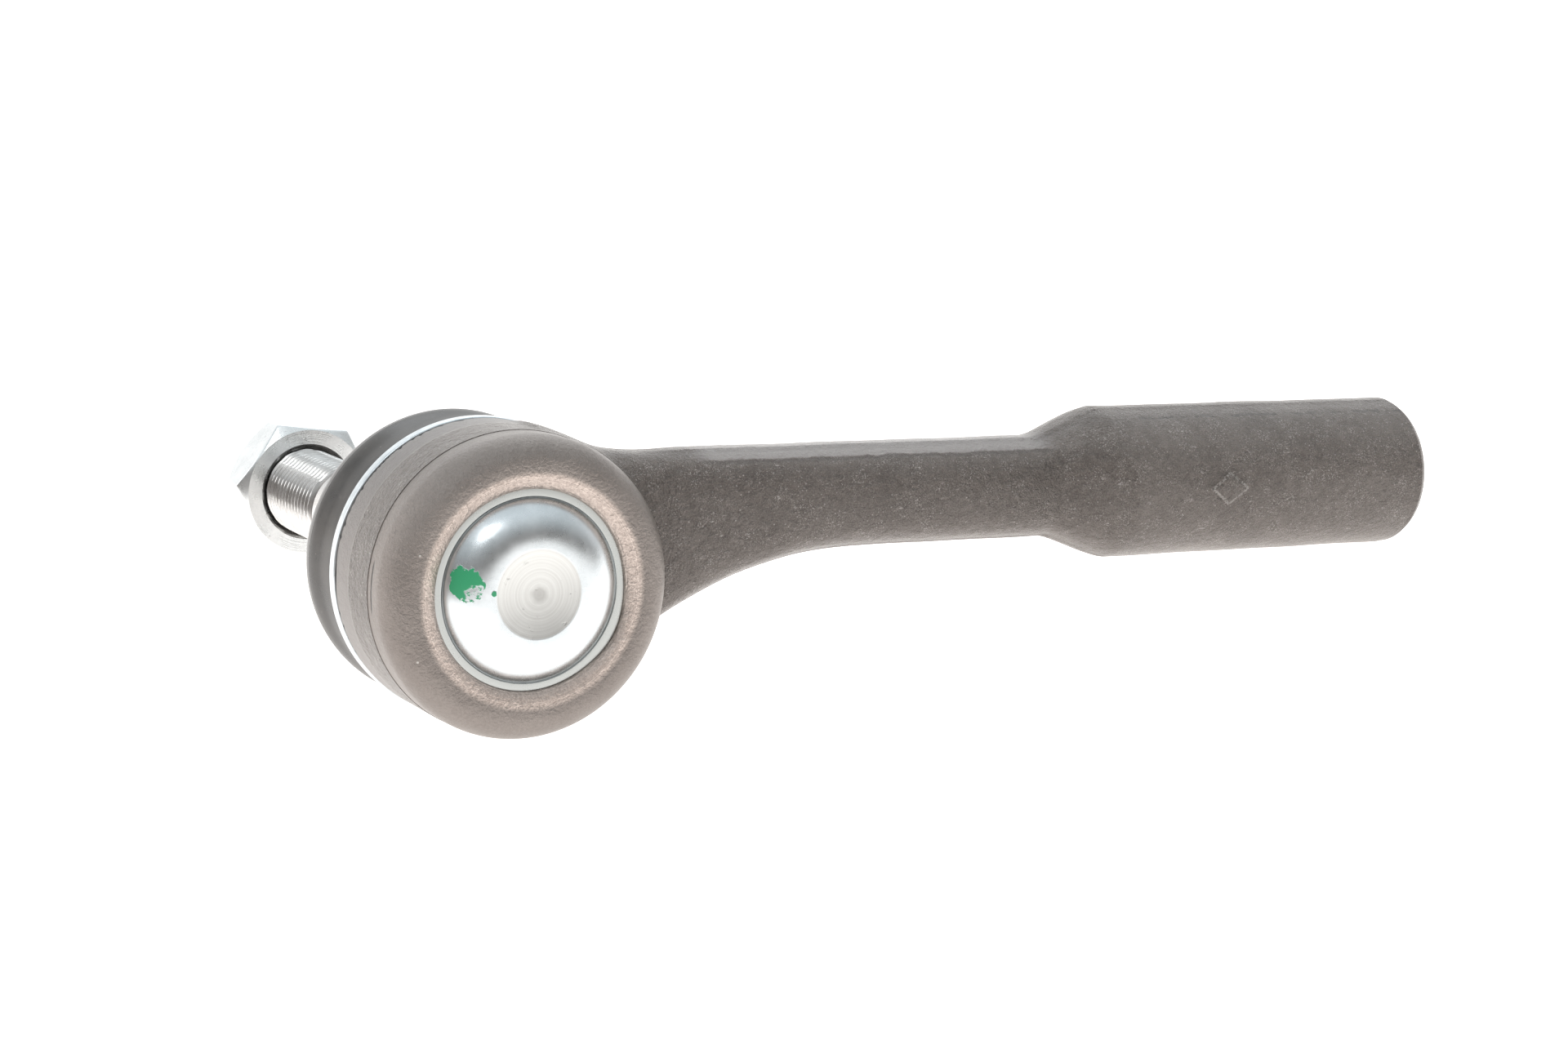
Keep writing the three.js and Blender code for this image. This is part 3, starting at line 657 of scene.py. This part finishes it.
wire = (neck_ring_high[1] - neck_ring_low[1]) / 4
wire_turn = np.radians(np.linspace(0, 360, 12, endpoint=False))
coil_angle = np.radians(np.arange(0, 721, 4))[:, None]
coil_rise = neck_ring_high[1] - neck_ring_low[1] - 2 * wire
coil_y = neck_ring_low[1] + wire + coil_rise * coil_angle / coil_angle.max()
flat_wire = 0.44
coil_radius = neck_ring_high[0] - flat_wire + flat_wire * np.cos(wire_turn)
coil = around_stud(coil_radius, coil_y + wire * 0.96 * np.sin(wire_turn), coil_angle)
ends = [row.mean(axis=1, keepdims=True) + 0 * row for row in (coil[:1], coil[-1:])]
neck_coil = build("neck_wire_ring", *skin(np.concatenate([ends[0], coil, ends[1]])))
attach(neck_coil, "boot_neck")
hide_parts("boot_neck_ring")

# %% [markdown]
# ## The locking nut
# A nut is a hexagonal bar turned down at both ends, so its flats end in curved bevels. Both shapes are
# radii that depend on the angle and the height, and the nut is the smaller of the two. Taking a
# softened minimum leaves the small round on every edge. The columns crowd towards the six corners,
# where the hexagon turns sharply. The bore carries the same helix as the stud, a hair wider.

# %% Nut
ACROSS_FLATS = 21.0
NUT_TURN = math.radians(5.7)
HEX_HEIGHT = 10.9
BEVEL_SLOPE = 0.58  # height gained per millimetre of radius at the bearing face
CROWN_SLOPE = 0.54  # radius lost per millimetre of height at the far end
COUNTERSINK = 7.9
nut_face, nut_end = nut_low[1], nut_high[1]
corner_radius = ACROSS_FLATS / math.sqrt(3)
COLLAR = ACROSS_FLATS / 2 - 1.1
SECTOR_COLUMNS = 36
in_sector = np.sin(np.linspace(-0.5, 0.5, SECTOR_COLUMNS, endpoint=False) * np.pi) * math.pi / 6
angle = (in_sector[None, :] + np.arange(6)[:, None] * math.pi / 3).reshape(1, -1) + math.pi / 6 - NUT_TURN


def softer_least(a, b, soft):
    """The smaller of a and b, rounded where they cross over a width of soft."""
    mix = np.clip(0.5 + 0.5 * (b - a) / soft, 0, 1)
    return b + (a - b) * mix - soft * mix * (1 - mix)


def hexagon(angle, sharp=90):
    """Radius of a hexagon with rounded corners: its six faces added as high powers of a cosine."""
    faces = np.cos(angle[..., None] + NUT_TURN - np.arange(6) * math.pi / 3 - math.pi / 6)
    return ACROSS_FLATS / 2 / (np.maximum(faces, 0) ** sharp).sum(-1) ** (1 / sharp)


hex_end = nut_face + HEX_HEIGHT
bevel = (corner_radius - ACROSS_FLATS / 2 + 0.3) * BEVEL_SLOPE
rows = np.concatenate([
    np.linspace(0, 0.25, 4),
    np.linspace(0.35, bevel + 0.5, 16),
    np.linspace(bevel + 1, 4.8, 5),
    np.linspace(5.1, HEX_HEIGHT, 30),
])[:, None] + nut_face
lead_in = ACROSS_FLATS / 2 - 0.3 + (rows - nut_face) / BEVEL_SLOPE
lead_out = COLLAR + (hex_end - rows) * CROWN_SLOPE
turned_down = softer_least(lead_in, lead_out, 0.3)
body = softer_least(hexagon(angle), turned_down, 0.35)
collar = outline([
    (COLLAR + 0.05, hex_end + 0.05),
    (COLLAR, hex_end + 0.3, 0.2),
    (COLLAR, nut_end - 1, 0.8),
    (COLLAR - 0.9, nut_end, 0.5),
    (COUNTERSINK, nut_end, 0.3),
    (COUNTERSINK, nut_end - 0.7, 0.1),
    (insert_high[0] + 0.3, nut_end - 0.7, 0.1),
    (insert_high[0] + 0.3, insert_low[1] - 0.3, 0.1),
    (THREAD_RADIUS + 0.3, insert_low[1] - 0.3),
])
bore_y = np.arange(insert_low[1] - 0.4, nut_face, -PITCH / THREAD_ROWS)[:, None]
CLEARANCE = 0.13
bore = np.maximum(stud_thread(bore_y, angle) + CLEARANCE, THREAD_RADIUS - 0.66)
bore = np.maximum(bore, COUNTERSINK - (bore_y - nut_face) * 1.1)
bearing = np.array([(COUNTERSINK, nut_face), (ACROSS_FLATS / 2 - 0.45, nut_face)])
grid = np.concatenate([
    around_stud(body, rows, angle),
    around_stud(collar[:, :1], collar[:, 1:], angle),
    around_stud(bore, bore_y, angle),
    around_stud(bearing[:, :1], bearing[:, 1:], angle),
])
nut = build("nut_body", *skin(grid, rows_meet=True), crease=30)
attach(nut, "nut")
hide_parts("lock_nut")

insert = turned("nut_nylon_ring", outline([
    (insert_high[0] - 1.3, insert_low[1], 0.2),
    (insert_high[0], insert_low[1], 0.2),
    (insert_high[0], insert_high[1], 0.3),
    (insert_high[0] - 1.3, insert_high[1], 0.5),
], closed=True), 160, closed=True)
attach(insert, "insert")
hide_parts("nut_locking_insert")

# %% [markdown]
# ## Writing a material as sums
# A finish is a small calculation that is done again at every point of the surface. In nodes it soon
# becomes a tangle, so a socket is wrapped in a class that understands plus, minus and times. Each
# operation adds the Math node that does it. Every other node comes from one method, which first sets
# the node up and then feeds its sockets with numbers, colours or other wires.

# %% A wire and a finish
class Wire:
    """One output socket of a node. Arithmetic on it adds Math nodes to the same finish."""

    def __init__(self, finish, socket):
        self.finish = finish
        self.socket = socket

    def maths(self, operation, first, second):
        return self.finish.node("ShaderNodeMath", {"operation": operation}, {0: first, 1: second})

    def __pow__(self, power):
        return self.maths("POWER", self, power)

    def most(self, other):
        return self.maths("MAXIMUM", self, other)

    def unsigned(self):
        return self.maths("ABSOLUTE", self, 0)

    def step(self, low, high):
        """Goes smoothly from 0 where the value is low to 1 where it is high. Low may be the larger."""
        ends = {"Value": self, "From Min": low, "From Max": high}
        return self.finish.node("ShaderNodeMapRange", {"interpolation_type": "SMOOTHSTEP"}, ends)

    def tint(self, first, second):
        """A colour that is first where the wire is 0 and second where it is 1."""
        values = {0: self, 6: first, 7: second}
        return self.finish.node("ShaderNodeMix", {"data_type": "RGBA"}, values, out=2)

    def part(self, name):
        """Another output of the same node."""
        return Wire(self.finish, self.socket.node.outputs[name])


# a wire may stand on either side of a sign
for sign, operation in (("add", "ADD"), ("sub", "SUBTRACT"), ("mul", "MULTIPLY")):
    setattr(Wire, f"__{sign}__", lambda wire, other, what=operation: wire.maths(what, wire, other))
    setattr(Wire, f"__r{sign}__", lambda wire, other, what=operation: wire.maths(what, other, wire))


class Finish:
    """A material whose pattern is measured in millimetres from the ball centre."""

    def __init__(self, name):
        self.material = bpy.data.materials.new(name)
        self.material.use_nodes = True
        self.tree = self.material.node_tree
        self.tree.nodes.clear()
        self.place = self.node(
            "ShaderNodeMapping",
            values={
                "Vector": self.node("ShaderNodeTexCoord", out="Object"),
                "Location": tuple(-BALL_CENTRE),
                "Scale": (1 / MM,) * 3,
            },
        )
        split = self.node("ShaderNodeSeparateXYZ", values={0: self.place})
        self.x, self.y, self.z = (split.part(axis) for axis in "XYZ")
        self.radius = (self.x * self.x + self.z * self.z) ** 0.5

    def node(self, kind, settings=None, values=None, out=0):
        """Adds a node: its settings first, then a number, colour, vector or wire for its sockets."""
        made = self.tree.nodes.new(kind)
        for key, setting in (settings or {}).items():
            setattr(made, key, setting)
        for key, value in (values or {}).items():
            socket = made.inputs[key]
            if isinstance(value, Wire):
                self.tree.links.new(value.socket, socket)
            elif socket.type == "RGBA":
                socket.default_value = (*value, 1)
            else:
                socket.default_value = value
        return Wire(self, made.outputs[out])

    def noise(self, scale, detail=2, roughness=0.5, at=None):
        """Cloudy noise from 0 to 1, with scale clouds per millimetre."""
        values = {"Vector": at or self.place, "Scale": scale, "Detail": detail, "Roughness": roughness}
        return self.node("ShaderNodeTexNoise", values=values)

    def lines(self, value, scale, detail=3):
        """Noise that depends on one number only, for the marks that a turning tool leaves."""
        values = {"W": value, "Scale": scale, "Detail": detail, "Roughness": 0.6}
        return self.node("ShaderNodeTexNoise", {"noise_dimensions": "1D"}, values)

    def specks(self, scale, size, share):
        """Small spots of about size millimetres, in a share of the cells of a random mesh."""
        cells = self.node("ShaderNodeTexVoronoi", values={"Vector": self.place, "Scale": scale})
        chosen = self.node("ShaderNodeSeparateColor", values={0: cells.part("Color")})
        return (cells * (1 / scale)).step(size, size * 0.45) * chosen.step(share + 0.02, share - 0.02)

    def stretched(self, scale):
        """The place with each direction scaled on its own, so that noise turns into streaks."""
        return self.node("ShaderNodeMapping", values={"Vector": self.place, "Scale": scale})

    def surface(self, height=None, **sockets):
        """Ends the material in a Principled shader. Height is in millimetres and becomes a bump."""
        values = {name.replace("_", " "): value for name, value in sockets.items()}
        if height is not None:
            bump = {"Strength": 1.0, "Distance": MM, "Height": height}
            values["Normal"] = self.node("ShaderNodeBump", values=bump)
        shader = self.node("ShaderNodeBsdfPrincipled", values=values)
        output = self.tree.nodes.new("ShaderNodeOutputMaterial")
        self.tree.links.new(shader.socket, output.inputs["Surface"])
        print("finish:", self.material.name, len(self.tree.nodes), "nodes")
        return self.material


def dress(material, *things):
    """Gives one material to several objects."""
    for thing in things:
        thing.data.materials.clear()
        thing.data.materials.append(material)


# %% [markdown]
# ## Phosphated forging
# A forging comes out of the die with a skin like orange peel, and is then coated with grey-brown
# phosphate, which is a felt of fine crystals. Where crystals are rubbed they turn pale, so the arm is
# full of light specks. The turned face of the head is finer. The rolled lip is burnished by the roller,
# and its lighter, warmer band is partly a painted reflection of the warm table. A machined band on the
# side was left for the clamp.

# %% Forged housing
def phosphated_forging():
    f = Finish("forged_steel_phosphate")
    beside_step = f.radius.step(FACE_STEP + 0.05, FACE_STEP - 0.05)
    face = beside_step * f.y.step(-10.45, -10.75)
    band = beside_step * f.y.step(-3.3, -2.9)
    fine = face.most(band)
    lip = f.radius.step(crest_radius - 0.2, crest_radius - 1.2) * f.y.step(-COVER_RIM + 0.5, -COVER_RIM)
    clouds = f.noise(0.09, 3, 0.6)
    peel = f.noise(0.8, 3, 0.62)
    grain = f.noise(2.6, 3, 0.7)
    felt = f.noise(5.0, 2, 0.7)
    rubbed = f.noise(0.3, 4, 0.7).step(0.42, 0.66)
    pale = (felt.step(0.56, 0.66) * rubbed).most(f.specks(1.6, 0.16, 0.2) * 0.8)
    scratches = f.noise(1.3, 4, 0.75, at=f.stretched((0.6, 1.6, 1.6))).step(0.60, 0.68) * rubbed
    mottle = (clouds * 0.2 + peel * 0.25 + felt * 0.55).step(0.36, 0.64)
    skin_colour = mottle.tint((0.130, 0.112, 0.101), (0.225, 0.199, 0.182))
    skin_colour = (pale * 0.55).most(scratches * 0.6).tint(skin_colour, (0.66, 0.62, 0.59))
    wander = f.z + 0.8 * f.noise(0.35, 4, 0.65)
    shank = f.x.step(28, 33) * f.x.step(CONE_START + 1, CONE_START - 3)
    # the flash band runs along the arm's top only; its lighter colour is partly trimmed flash, partly a
    # painted highlight on the lit top edge
    flash_band_and_highlight = wander.step(ARM_Z + 6.5, ARM_Z + 6.8) * shank
    shade_below_flash = (wander - ARM_Z - 6.4).unsigned().step(0.35, 0.1) * shank
    dashes = (wander - ARM_Z - BARREL_RADIUS + 0.8).unsigned().step(0.22, 0.08)
    dashes = dashes * f.noise(0.3).step(0.45, 0.5) * f.x.step(BARREL_START, BARREL_START + 3)
    from_mark = (f.x - MARK_X).unsigned() * (1 / MARK_LONG) + (f.z - ARM_Z).unsigned() * (1 / MARK_TALL)
    mark_edge_wear_and_highlight = (from_mark - 0.9).unsigned().step(0.14, 0.05) * f.y.step(ARM_Y, ARM_Y - 1)
    # the diamond's edge is painted pale: partly rubbed wear, partly a painted highlight
    skin_colour = (mark_edge_wear_and_highlight * grain.step(0.42, 0.55) * 0.6).tint(skin_colour, (0.55, 0.52, 0.49))
    # painted highlight: the flash along the top is painted lighter, partly as trimmed metal
    skin_colour = (flash_band_and_highlight * 0.6).tint(skin_colour, (0.46, 0.43, 0.42))
    # painted shade: a dark line just below the flash; the dark dashes on the barrel's top take the same
    # colour
    skin_colour = (shade_below_flash * 0.35).most(dashes * 0.6).tint(skin_colour, (0.09, 0.08, 0.075))
    face_colour = (clouds * 0.5 + grain * 0.5).step(0.3, 0.7)
    face_colour = face_colour.tint((0.225, 0.197, 0.180), (0.292, 0.259, 0.239))
    face_colour = band.tint(face_colour, (0.235, 0.214, 0.203))
    colour = fine.tint(skin_colour, face_colour)
    colour = (f.specks(0.35, 0.22, 0.10) * fine * 0.7).tint(colour, (0.6, 0.58, 0.55))
    roller = f.lines(f.radius, 5.0)
    # painted reflection: the burnished lip is painted lighter and warmer, partly as a reflection of the
    # warm table
    lip_burnish_and_warm_reflection = (grain * 0.6 + roller * 0.4).step(0.3, 0.75).tint((0.40, 0.33, 0.295), (0.72, 0.62, 0.56))
    colour = lip.tint(colour, lip_burnish_and_warm_reflection)
    # painted shade: a slot on the head's side is painted near black
    slot_shade = (f.y + 11.9 + 0.25 * f.noise(0.35)).unsigned().step(0.34, 0.12)
    slot_shade = slot_shade * (f.z - 0.7).unsigned().step(4.2, 2.8) * f.x.step(-19, -20)
    colour = (slot_shade * 0.85).tint(colour, (0.03, 0.027, 0.025))
    rough = 0.28 + 0.1 * peel + 0.1 * fine - 0.1 * lip
    coarse = 1 - 0.85 * fine
    height = coarse * (1.5 * peel + 0.8 * grain) + fine * 0.06 * grain + 0.06 * pale * coarse
    height = height + 0.15 * flash_band_and_highlight * coarse - 0.1 * shade_below_flash.most(dashes) * coarse
    height = height + 0.01 * lip * roller - 0.25 * slot_shade
    return f.surface(
        height, Base_Color=colour, Metallic=0.94, Roughness=rough, Coat_Weight=0.3, Coat_Roughness=0.38
    )


dress(phosphated_forging(), housing)

# %% [markdown]
# ## Zinc plate
# The cover, the clamp and the nut are plated with bright zinc and passivated, which gives a cool,
# slightly cloudy mirror. The clouds are in the roughness more than in the colour. The cover's flat was
# coined by the punch, so it is duller, with faint rings round its centre and a few grey stains. A dab of
# green paint, put on by the inspector with a worn brush, has a ragged edge and a rubbed-out middle.

# %% Zinc finishes
ZINC_LIGHT, ZINC_DARK = (0.76, 0.80, 0.82), (0.62, 0.66, 0.68)


def zinc_cover():
    f = Finish("zinc_plate_cover")
    clouds = f.noise(0.22, 4, 0.65)
    fine = f.noise(2.5, 3, 0.6)
    coined = f.radius.step(FLAT_RADIUS - 0.05, FLAT_RADIUS - 0.35)
    rings = f.lines(f.radius, 2.2, 4)
    groove = (f.radius - CREASE_RADIUS).unsigned().step(0.2, 0.06)
    stains = f.noise(0.55, 4, 0.7).step(0.62, 0.72) * coined
    centre = (f.radius + 0.8 * f.noise(0.8)).step(2.1, 0.9)
    colour = clouds.step(0.3, 0.7).tint(ZINC_DARK, ZINC_LIGHT)
    colour = (coined * 0.75).tint(colour, (0.74, 0.73, 0.70))
    colour = (rings.step(0.35, 0.65) * coined * 0.35).tint(colour, (0.52, 0.51, 0.49))
    colour = (stains * 0.45).most(centre * 0.4).tint(colour, (0.30, 0.29, 0.28))
    # painted shade: the cover's rim under the rolled lip is painted darker
    rim = f.radius.step(CREASE_RADIUS, CREASE_RADIUS + 0.2)
    colour = (rim * 0.8).tint(colour, (0.40, 0.41, 0.39))
    # painted shade: the groove at the crease is painted dark
    colour = (groove * 0.6).tint(colour, (0.10, 0.11, 0.11))
    ragged = f.noise(0.75, 4, 0.6) - 0.5

    def spot(x, z, torn, tall=1):
        across, up = f.x - x, f.z - z
        return (across * across + up * up * tall) ** 0.5 + torn * ragged

    blob = spot(-10.4, 1.7, 2.6, 0.9).step(2.3, 2.12)
    hole = spot(-9.4, 0.3, 2.0).step(1.5, 1.1)
    streaks = f.noise(1.6, 3, 0.7).step(0.38, 0.5)
    drop = spot(-6.8, 0.4, 0.5).step(0.5, 0.38)
    paint = (blob * (1 - hole * streaks)).most(drop) * f.y.step(-COVER_RIM + 0.4, -COVER_RIM)
    colour = paint.tint(colour, (0.035, 0.33, 0.15))
    rough = 0.21 + 0.14 * clouds + 0.17 * coined + 0.1 * groove
    rough = rough + paint * (0.42 - rough)
    height = 0.004 * fine + 0.012 * rings * coined - 0.02 * stains + 0.03 * paint
    return f.surface(height, Base_Color=colour, Metallic=1 - paint, Roughness=rough)


def zinc_bands():
    f = Finish("zinc_plate_rings")
    clouds = f.noise(0.6, 3, 0.6)
    drawn = f.lines(f.y, 6.0)
    colour = clouds.step(0.3, 0.7).tint(ZINC_DARK, ZINC_LIGHT)
    return f.surface(0.01 * drawn, Base_Color=colour, Metallic=1.0, Roughness=0.22 + 0.15 * clouds)


def zinc_nut():
    f = Finish("zinc_plate_nut")
    clouds = f.noise(0.28, 4, 0.62)
    fine = f.noise(3.0, 3, 0.65)
    face_rings = f.lines(f.radius, 4.0) * f.y.step(nut_face + 0.3, nut_face + 0.1)
    knocks = f.noise(0.7, 3, 0.6).step(0.66, 0.74)
    colour = (clouds * 0.7 + fine * 0.3).step(0.3, 0.7).tint((0.72, 0.74, 0.74), (0.88, 0.89, 0.89))
    colour = (knocks * 0.3).tint(colour, (0.42, 0.43, 0.42))
    # painted shade: the countersink and the bore are painted darker
    bore = f.radius.step(7.75, 7.45)
    colour = (bore * 0.55).tint(colour, (0.25, 0.25, 0.25))
    height = 0.012 * clouds + 0.005 * fine + 0.014 * face_rings - 0.03 * knocks
    return f.surface(height, Base_Color=colour, Metallic=1.0, Roughness=0.2 + 0.16 * clouds)


dress(zinc_cover(), cover)
dress(zinc_bands(), clamp, neck_coil)
dress(zinc_nut(), nut)

# %% [markdown]
# ## Stud, boot and inner parts
# The stud is bare steel: its thread was rolled, so the flanks are bright, and the roots are painted
# dark as shade. The boot is moulded rubber with a satin skin, brown-black, dusted on top with pale powder
# from handling. The parts inside are only seen when the joint is opened, but they get their own
# finishes too: acetal shells, a blued disc spring and a nylon ring in the nut.

# %% Stud and boot finishes
def stud_steel():
    f = Finish("ground_and_rolled_steel")
    turned_marks = f.lines(f.y, 7.0, 4)
    clouds = f.noise(0.4, 3, 0.6)
    on_thread = f.y.step(THREAD_START - 0.2, THREAD_START + 0.2)
    root_shade = (THREAD_RADIUS - f.radius).step(0.25, 0.85) * on_thread
    colour = (clouds * 0.5 + turned_marks * 0.5).step(0.3, 0.7).tint((0.60, 0.58, 0.56), (0.78, 0.77, 0.76))
    # painted shade: the thread's roots are painted dark
    colour = (root_shade * 0.8).tint(colour, (0.13, 0.11, 0.10))
    rough = 0.2 + 0.1 * clouds + 0.16 * root_shade
    height = (1 - on_thread) * 0.006 * turned_marks + 0.003 * clouds
    return f.surface(height, Base_Color=colour, Metallic=1.0, Roughness=rough)


def boot_rubber():
    f = Finish("boot_rubber")
    cloth = f.noise(6.0, 2, 0.5)
    dull = f.noise(0.16, 4, 0.65)
    dust = (f.noise(0.8, 5, 0.75).step(0.55, 0.75) * 0.25).most(f.specks(0.8, 0.14, 0.16))
    mould_line = (f.y - BULGE_TOP).unsigned().step(0.22, 0.06)
    colour = dull.step(0.3, 0.7).tint((0.026, 0.022, 0.019), (0.056, 0.048, 0.042))
    colour = (dust * 0.55).tint(colour, (0.33, 0.30, 0.27))
    rough = 0.22 + 0.14 * dull + 0.2 * dust
    height = 0.010 * cloth + 0.02 * dust + 0.035 * mould_line
    return f.surface(height, Base_Color=colour, Roughness=rough, Metallic=0.0, Specular_IOR_Level=0.6)


BULGE_TOP = along(0.398)
dress(stud_steel(), stud)
dress(boot_rubber(), sleeve_low, sleeve_high)


# %% Finishes of the inner parts
def moulded(name, dark, light, rough):
    f = Finish(name)
    flow = f.noise(0.3, 3, 0.6, at=f.stretched((1, 3, 1)))
    colour = flow.step(0.3, 0.7).tint(dark, light)
    values = {"Base_Color": colour, "Roughness": rough + 0.12 * flow, "Subsurface_Weight": 0.08}
    return f.surface(0.006 * f.noise(3.0), **values)


def blued_spring():
    f = Finish("blued_spring_steel")
    heat = f.noise(0.25, 3, 0.6)
    colour = heat.step(0.3, 0.7).tint((0.05, 0.055, 0.07), (0.12, 0.11, 0.10))
    height = 0.006 * f.lines(f.radius, 5.0)
    return f.surface(height, Base_Color=colour, Metallic=0.9, Roughness=0.3 + 0.2 * heat)


acetal = moulded("acetal_shell", (0.74, 0.72, 0.64), (0.84, 0.82, 0.75), 0.34)
dress(acetal, frame["nodes"]["cover_side_bearing_shell"], frame["nodes"]["stud_side_bearing_shell"])
dress(blued_spring(), frame["nodes"]["preload_disc_spring"])
dress(moulded("nylon_ring", (0.04, 0.13, 0.38), (0.06, 0.18, 0.46), 0.32), insert)

# %% [markdown]
# ## The table it lies on
# The part lies on its side and touches the table at three places: the boot or head, the lip of the
# barrel and one corner of the nut. The plane through them is found by trial. From a first guess at
# "up", the lowest point of each place gives a plane, the plane gives a better "up", and after a few
# rounds the three points stay the same.

# %% Floor
def corner_points(thing):
    """The mesh's points as an array, in metres."""
    places = np.zeros(len(thing.data.vertices) * 3)
    thing.data.vertices.foreach_get("co", places)
    return places.reshape(-1, 3)


forged_points = corner_points(housing)
by_head = forged_points[forged_points[:, 0] < 2 * HEAD_RADIUS * MM]
rests = [
    np.vstack([by_head, corner_points(sleeve_low), corner_points(sleeve_high)]),
    forged_points[forged_points[:, 0] > (REACH - 20) * MM],
    corner_points(nut),
]
up = np.array([0.0, 0.0, 1.0])
for _ in range(20):
    touching = [points[np.argmin(points @ up)] for points in rests]
    up = np.cross(touching[1] - touching[0], touching[2] - touching[0])
    up *= np.sign(up[2]) / np.linalg.norm(up)
print("up from the table:", up.round(4))
print("touching at, mm:", [(point / MM).round(1).tolist() for point in touching])

FLOOR_REACH = 6.0
floor_side = np.cross(up, (0, 1, 0))
floor_side /= np.linalg.norm(floor_side)
floor_ahead = np.cross(up, floor_side)
floor_corners = [
    touching[0] + FLOOR_REACH * (a * floor_side + b * floor_ahead)
    for a, b in ((-1, -1), (1, -1), (1, 1), (-1, 1))
]
floor_mesh = bpy.data.meshes.new("floor")
floor_mesh.from_pydata([corner.tolist() for corner in floor_corners], [], [(0, 1, 2, 3)])
floor = bpy.data.objects.new("floor", floor_mesh)
bpy.context.scene.collection.objects.link(floor)


def table_top():
    f = Finish("pale_table")
    tone = f.noise(0.02, 2).tint((0.40, 0.40, 0.40), (0.42, 0.42, 0.42))
    return f.surface(
        Base_Color=tone,
        Roughness=0.7,
        Specular_IOR_Level=0.2,
        Emission_Color=(1.0, 0.965, 0.935),
        Emission_Strength=1.35,
    )


dress(table_top(), floor)

# %% [markdown]
# ## Camera and light
# The camera looks down at the cover from the front left, a little more than arm's length away with a
# long lens. The studio is a tent: a soft box above the camera, a large one at the left and a third
# behind and above. The walls go from dark on the camera's side to bright behind the part, and the
# ceiling is a cool grey, which gives the metal something to reflect.

# %% Camera
scene = bpy.context.scene
CAMERA_PLACE = np.array([-172.87, -389.17, 80.40])
CAMERA_TARGET = np.array([46.55, 15.8, 5.53])
camera = bpy.data.objects.new("camera", bpy.data.cameras.new("camera"))
scene.collection.objects.link(camera)
scene.camera = camera
camera.data.lens = 71.73
camera.data.sensor_width = 36
camera.data.clip_start, camera.data.clip_end = 0.01, 20
camera.location = CAMERA_PLACE * MM
aim = Vector((CAMERA_TARGET - CAMERA_PLACE) * MM).to_track_quat("-Z", "Y").to_matrix()
ROLL = math.radians(2.21)
camera.rotation_mode = "QUATERNION"
camera.rotation_quaternion = (aim @ Matrix.Rotation(ROLL, 3, "Z")).to_quaternion()

# %% [markdown]
# ## The tent's light
# Each soft box is placed by two angles round the part. The walls and the ceiling are the world's own
# light, which depends only on the direction one looks in.

# %% Lights
centre = Vector((0.05, 0.02, 0.0))


def soft_box(name, azimuth, elevation, distance, width, height, radiance, colour=(1, 1, 1)):
    """A rectangular light that faces the part, with a power of radiance x pi x area."""
    light = bpy.data.lights.new(name, "AREA")
    light.shape = "RECTANGLE"
    light.size, light.size_y = width, height
    light.energy = radiance * math.pi * width * height
    light.color = colour
    thing = bpy.data.objects.new(name, light)
    a, e = math.radians(azimuth), math.radians(elevation)
    away = Vector((math.sin(a) * math.cos(e), -math.cos(a) * math.cos(e), math.sin(e)))
    thing.location = centre + away * distance
    thing.rotation_mode = "QUATERNION"
    thing.rotation_quaternion = away.to_track_quat("Z", "Y")
    scene.collection.objects.link(thing)


# name, azimuth, elevation, distance, width, height, radiance, colour
soft_box("above_camera", -33, 44, 1.0, 0.32, 0.2, 4.6)
soft_box("left_wall", -106, 18, 1.1, 0.9, 0.7, 1.6)
soft_box("overhead", 155, 52, 1.2, 1.2, 0.5, 1.4, (0.95, 0.98, 1.0))

world = bpy.data.worlds.new("tent")
scene.world = world
world.use_nodes = True
air = world.node_tree
air.nodes.clear()
TENT_BACK = (0.476, 0.879, 0.0)  # away from the camera, level
DARK_WALL = (0.0, (0.20, 0.185, 0.175, 1))
BRIGHT_WALL = (0.8, (1.4, 1.4, 1.4, 1))
CEILING = (0.84, 0.90, 0.93, 1)


def air_node(kind, **inputs):
    """Adds a node to the world and feeds its inputs, named or numbered with a leading n."""
    node = air.nodes.new(kind)
    for key, value in inputs.items():
        socket = node.inputs[int(key[1:]) if key[1:].isdigit() else key]
        if isinstance(value, bpy.types.NodeSocket):
            air.links.new(value, socket)
        else:
            socket.default_value = value
    return node


direction = air_node("ShaderNodeTexCoord").outputs["Generated"]
backwards = air_node("ShaderNodeVectorMath", n0=direction, n1=TENT_BACK)
backwards.operation = "DOT_PRODUCT"
height = air_node("ShaderNodeSeparateXYZ", n0=direction).outputs["Z"]
walls = air_node("ShaderNodeValToRGB", n0=backwards.outputs["Value"])
for stop, (position, colour) in zip(walls.color_ramp.elements, (DARK_WALL, BRIGHT_WALL)):
    stop.position, stop.color = position, colour
ceiling = air_node("ShaderNodeMapRange", Value=height, n1=0.15, n2=0.8)
mixed = air_node("ShaderNodeMix")
mixed.data_type = "RGBA"
air.links.new(ceiling.outputs[0], mixed.inputs[0])
air.links.new(walls.outputs["Color"], mixed.inputs[6])
mixed.inputs[7].default_value = CEILING
glow = air_node("ShaderNodeBackground", Color=mixed.outputs[2])
air_node("ShaderNodeOutputWorld", Surface=glow.outputs[0])
scene.view_settings.view_transform = "Standard"
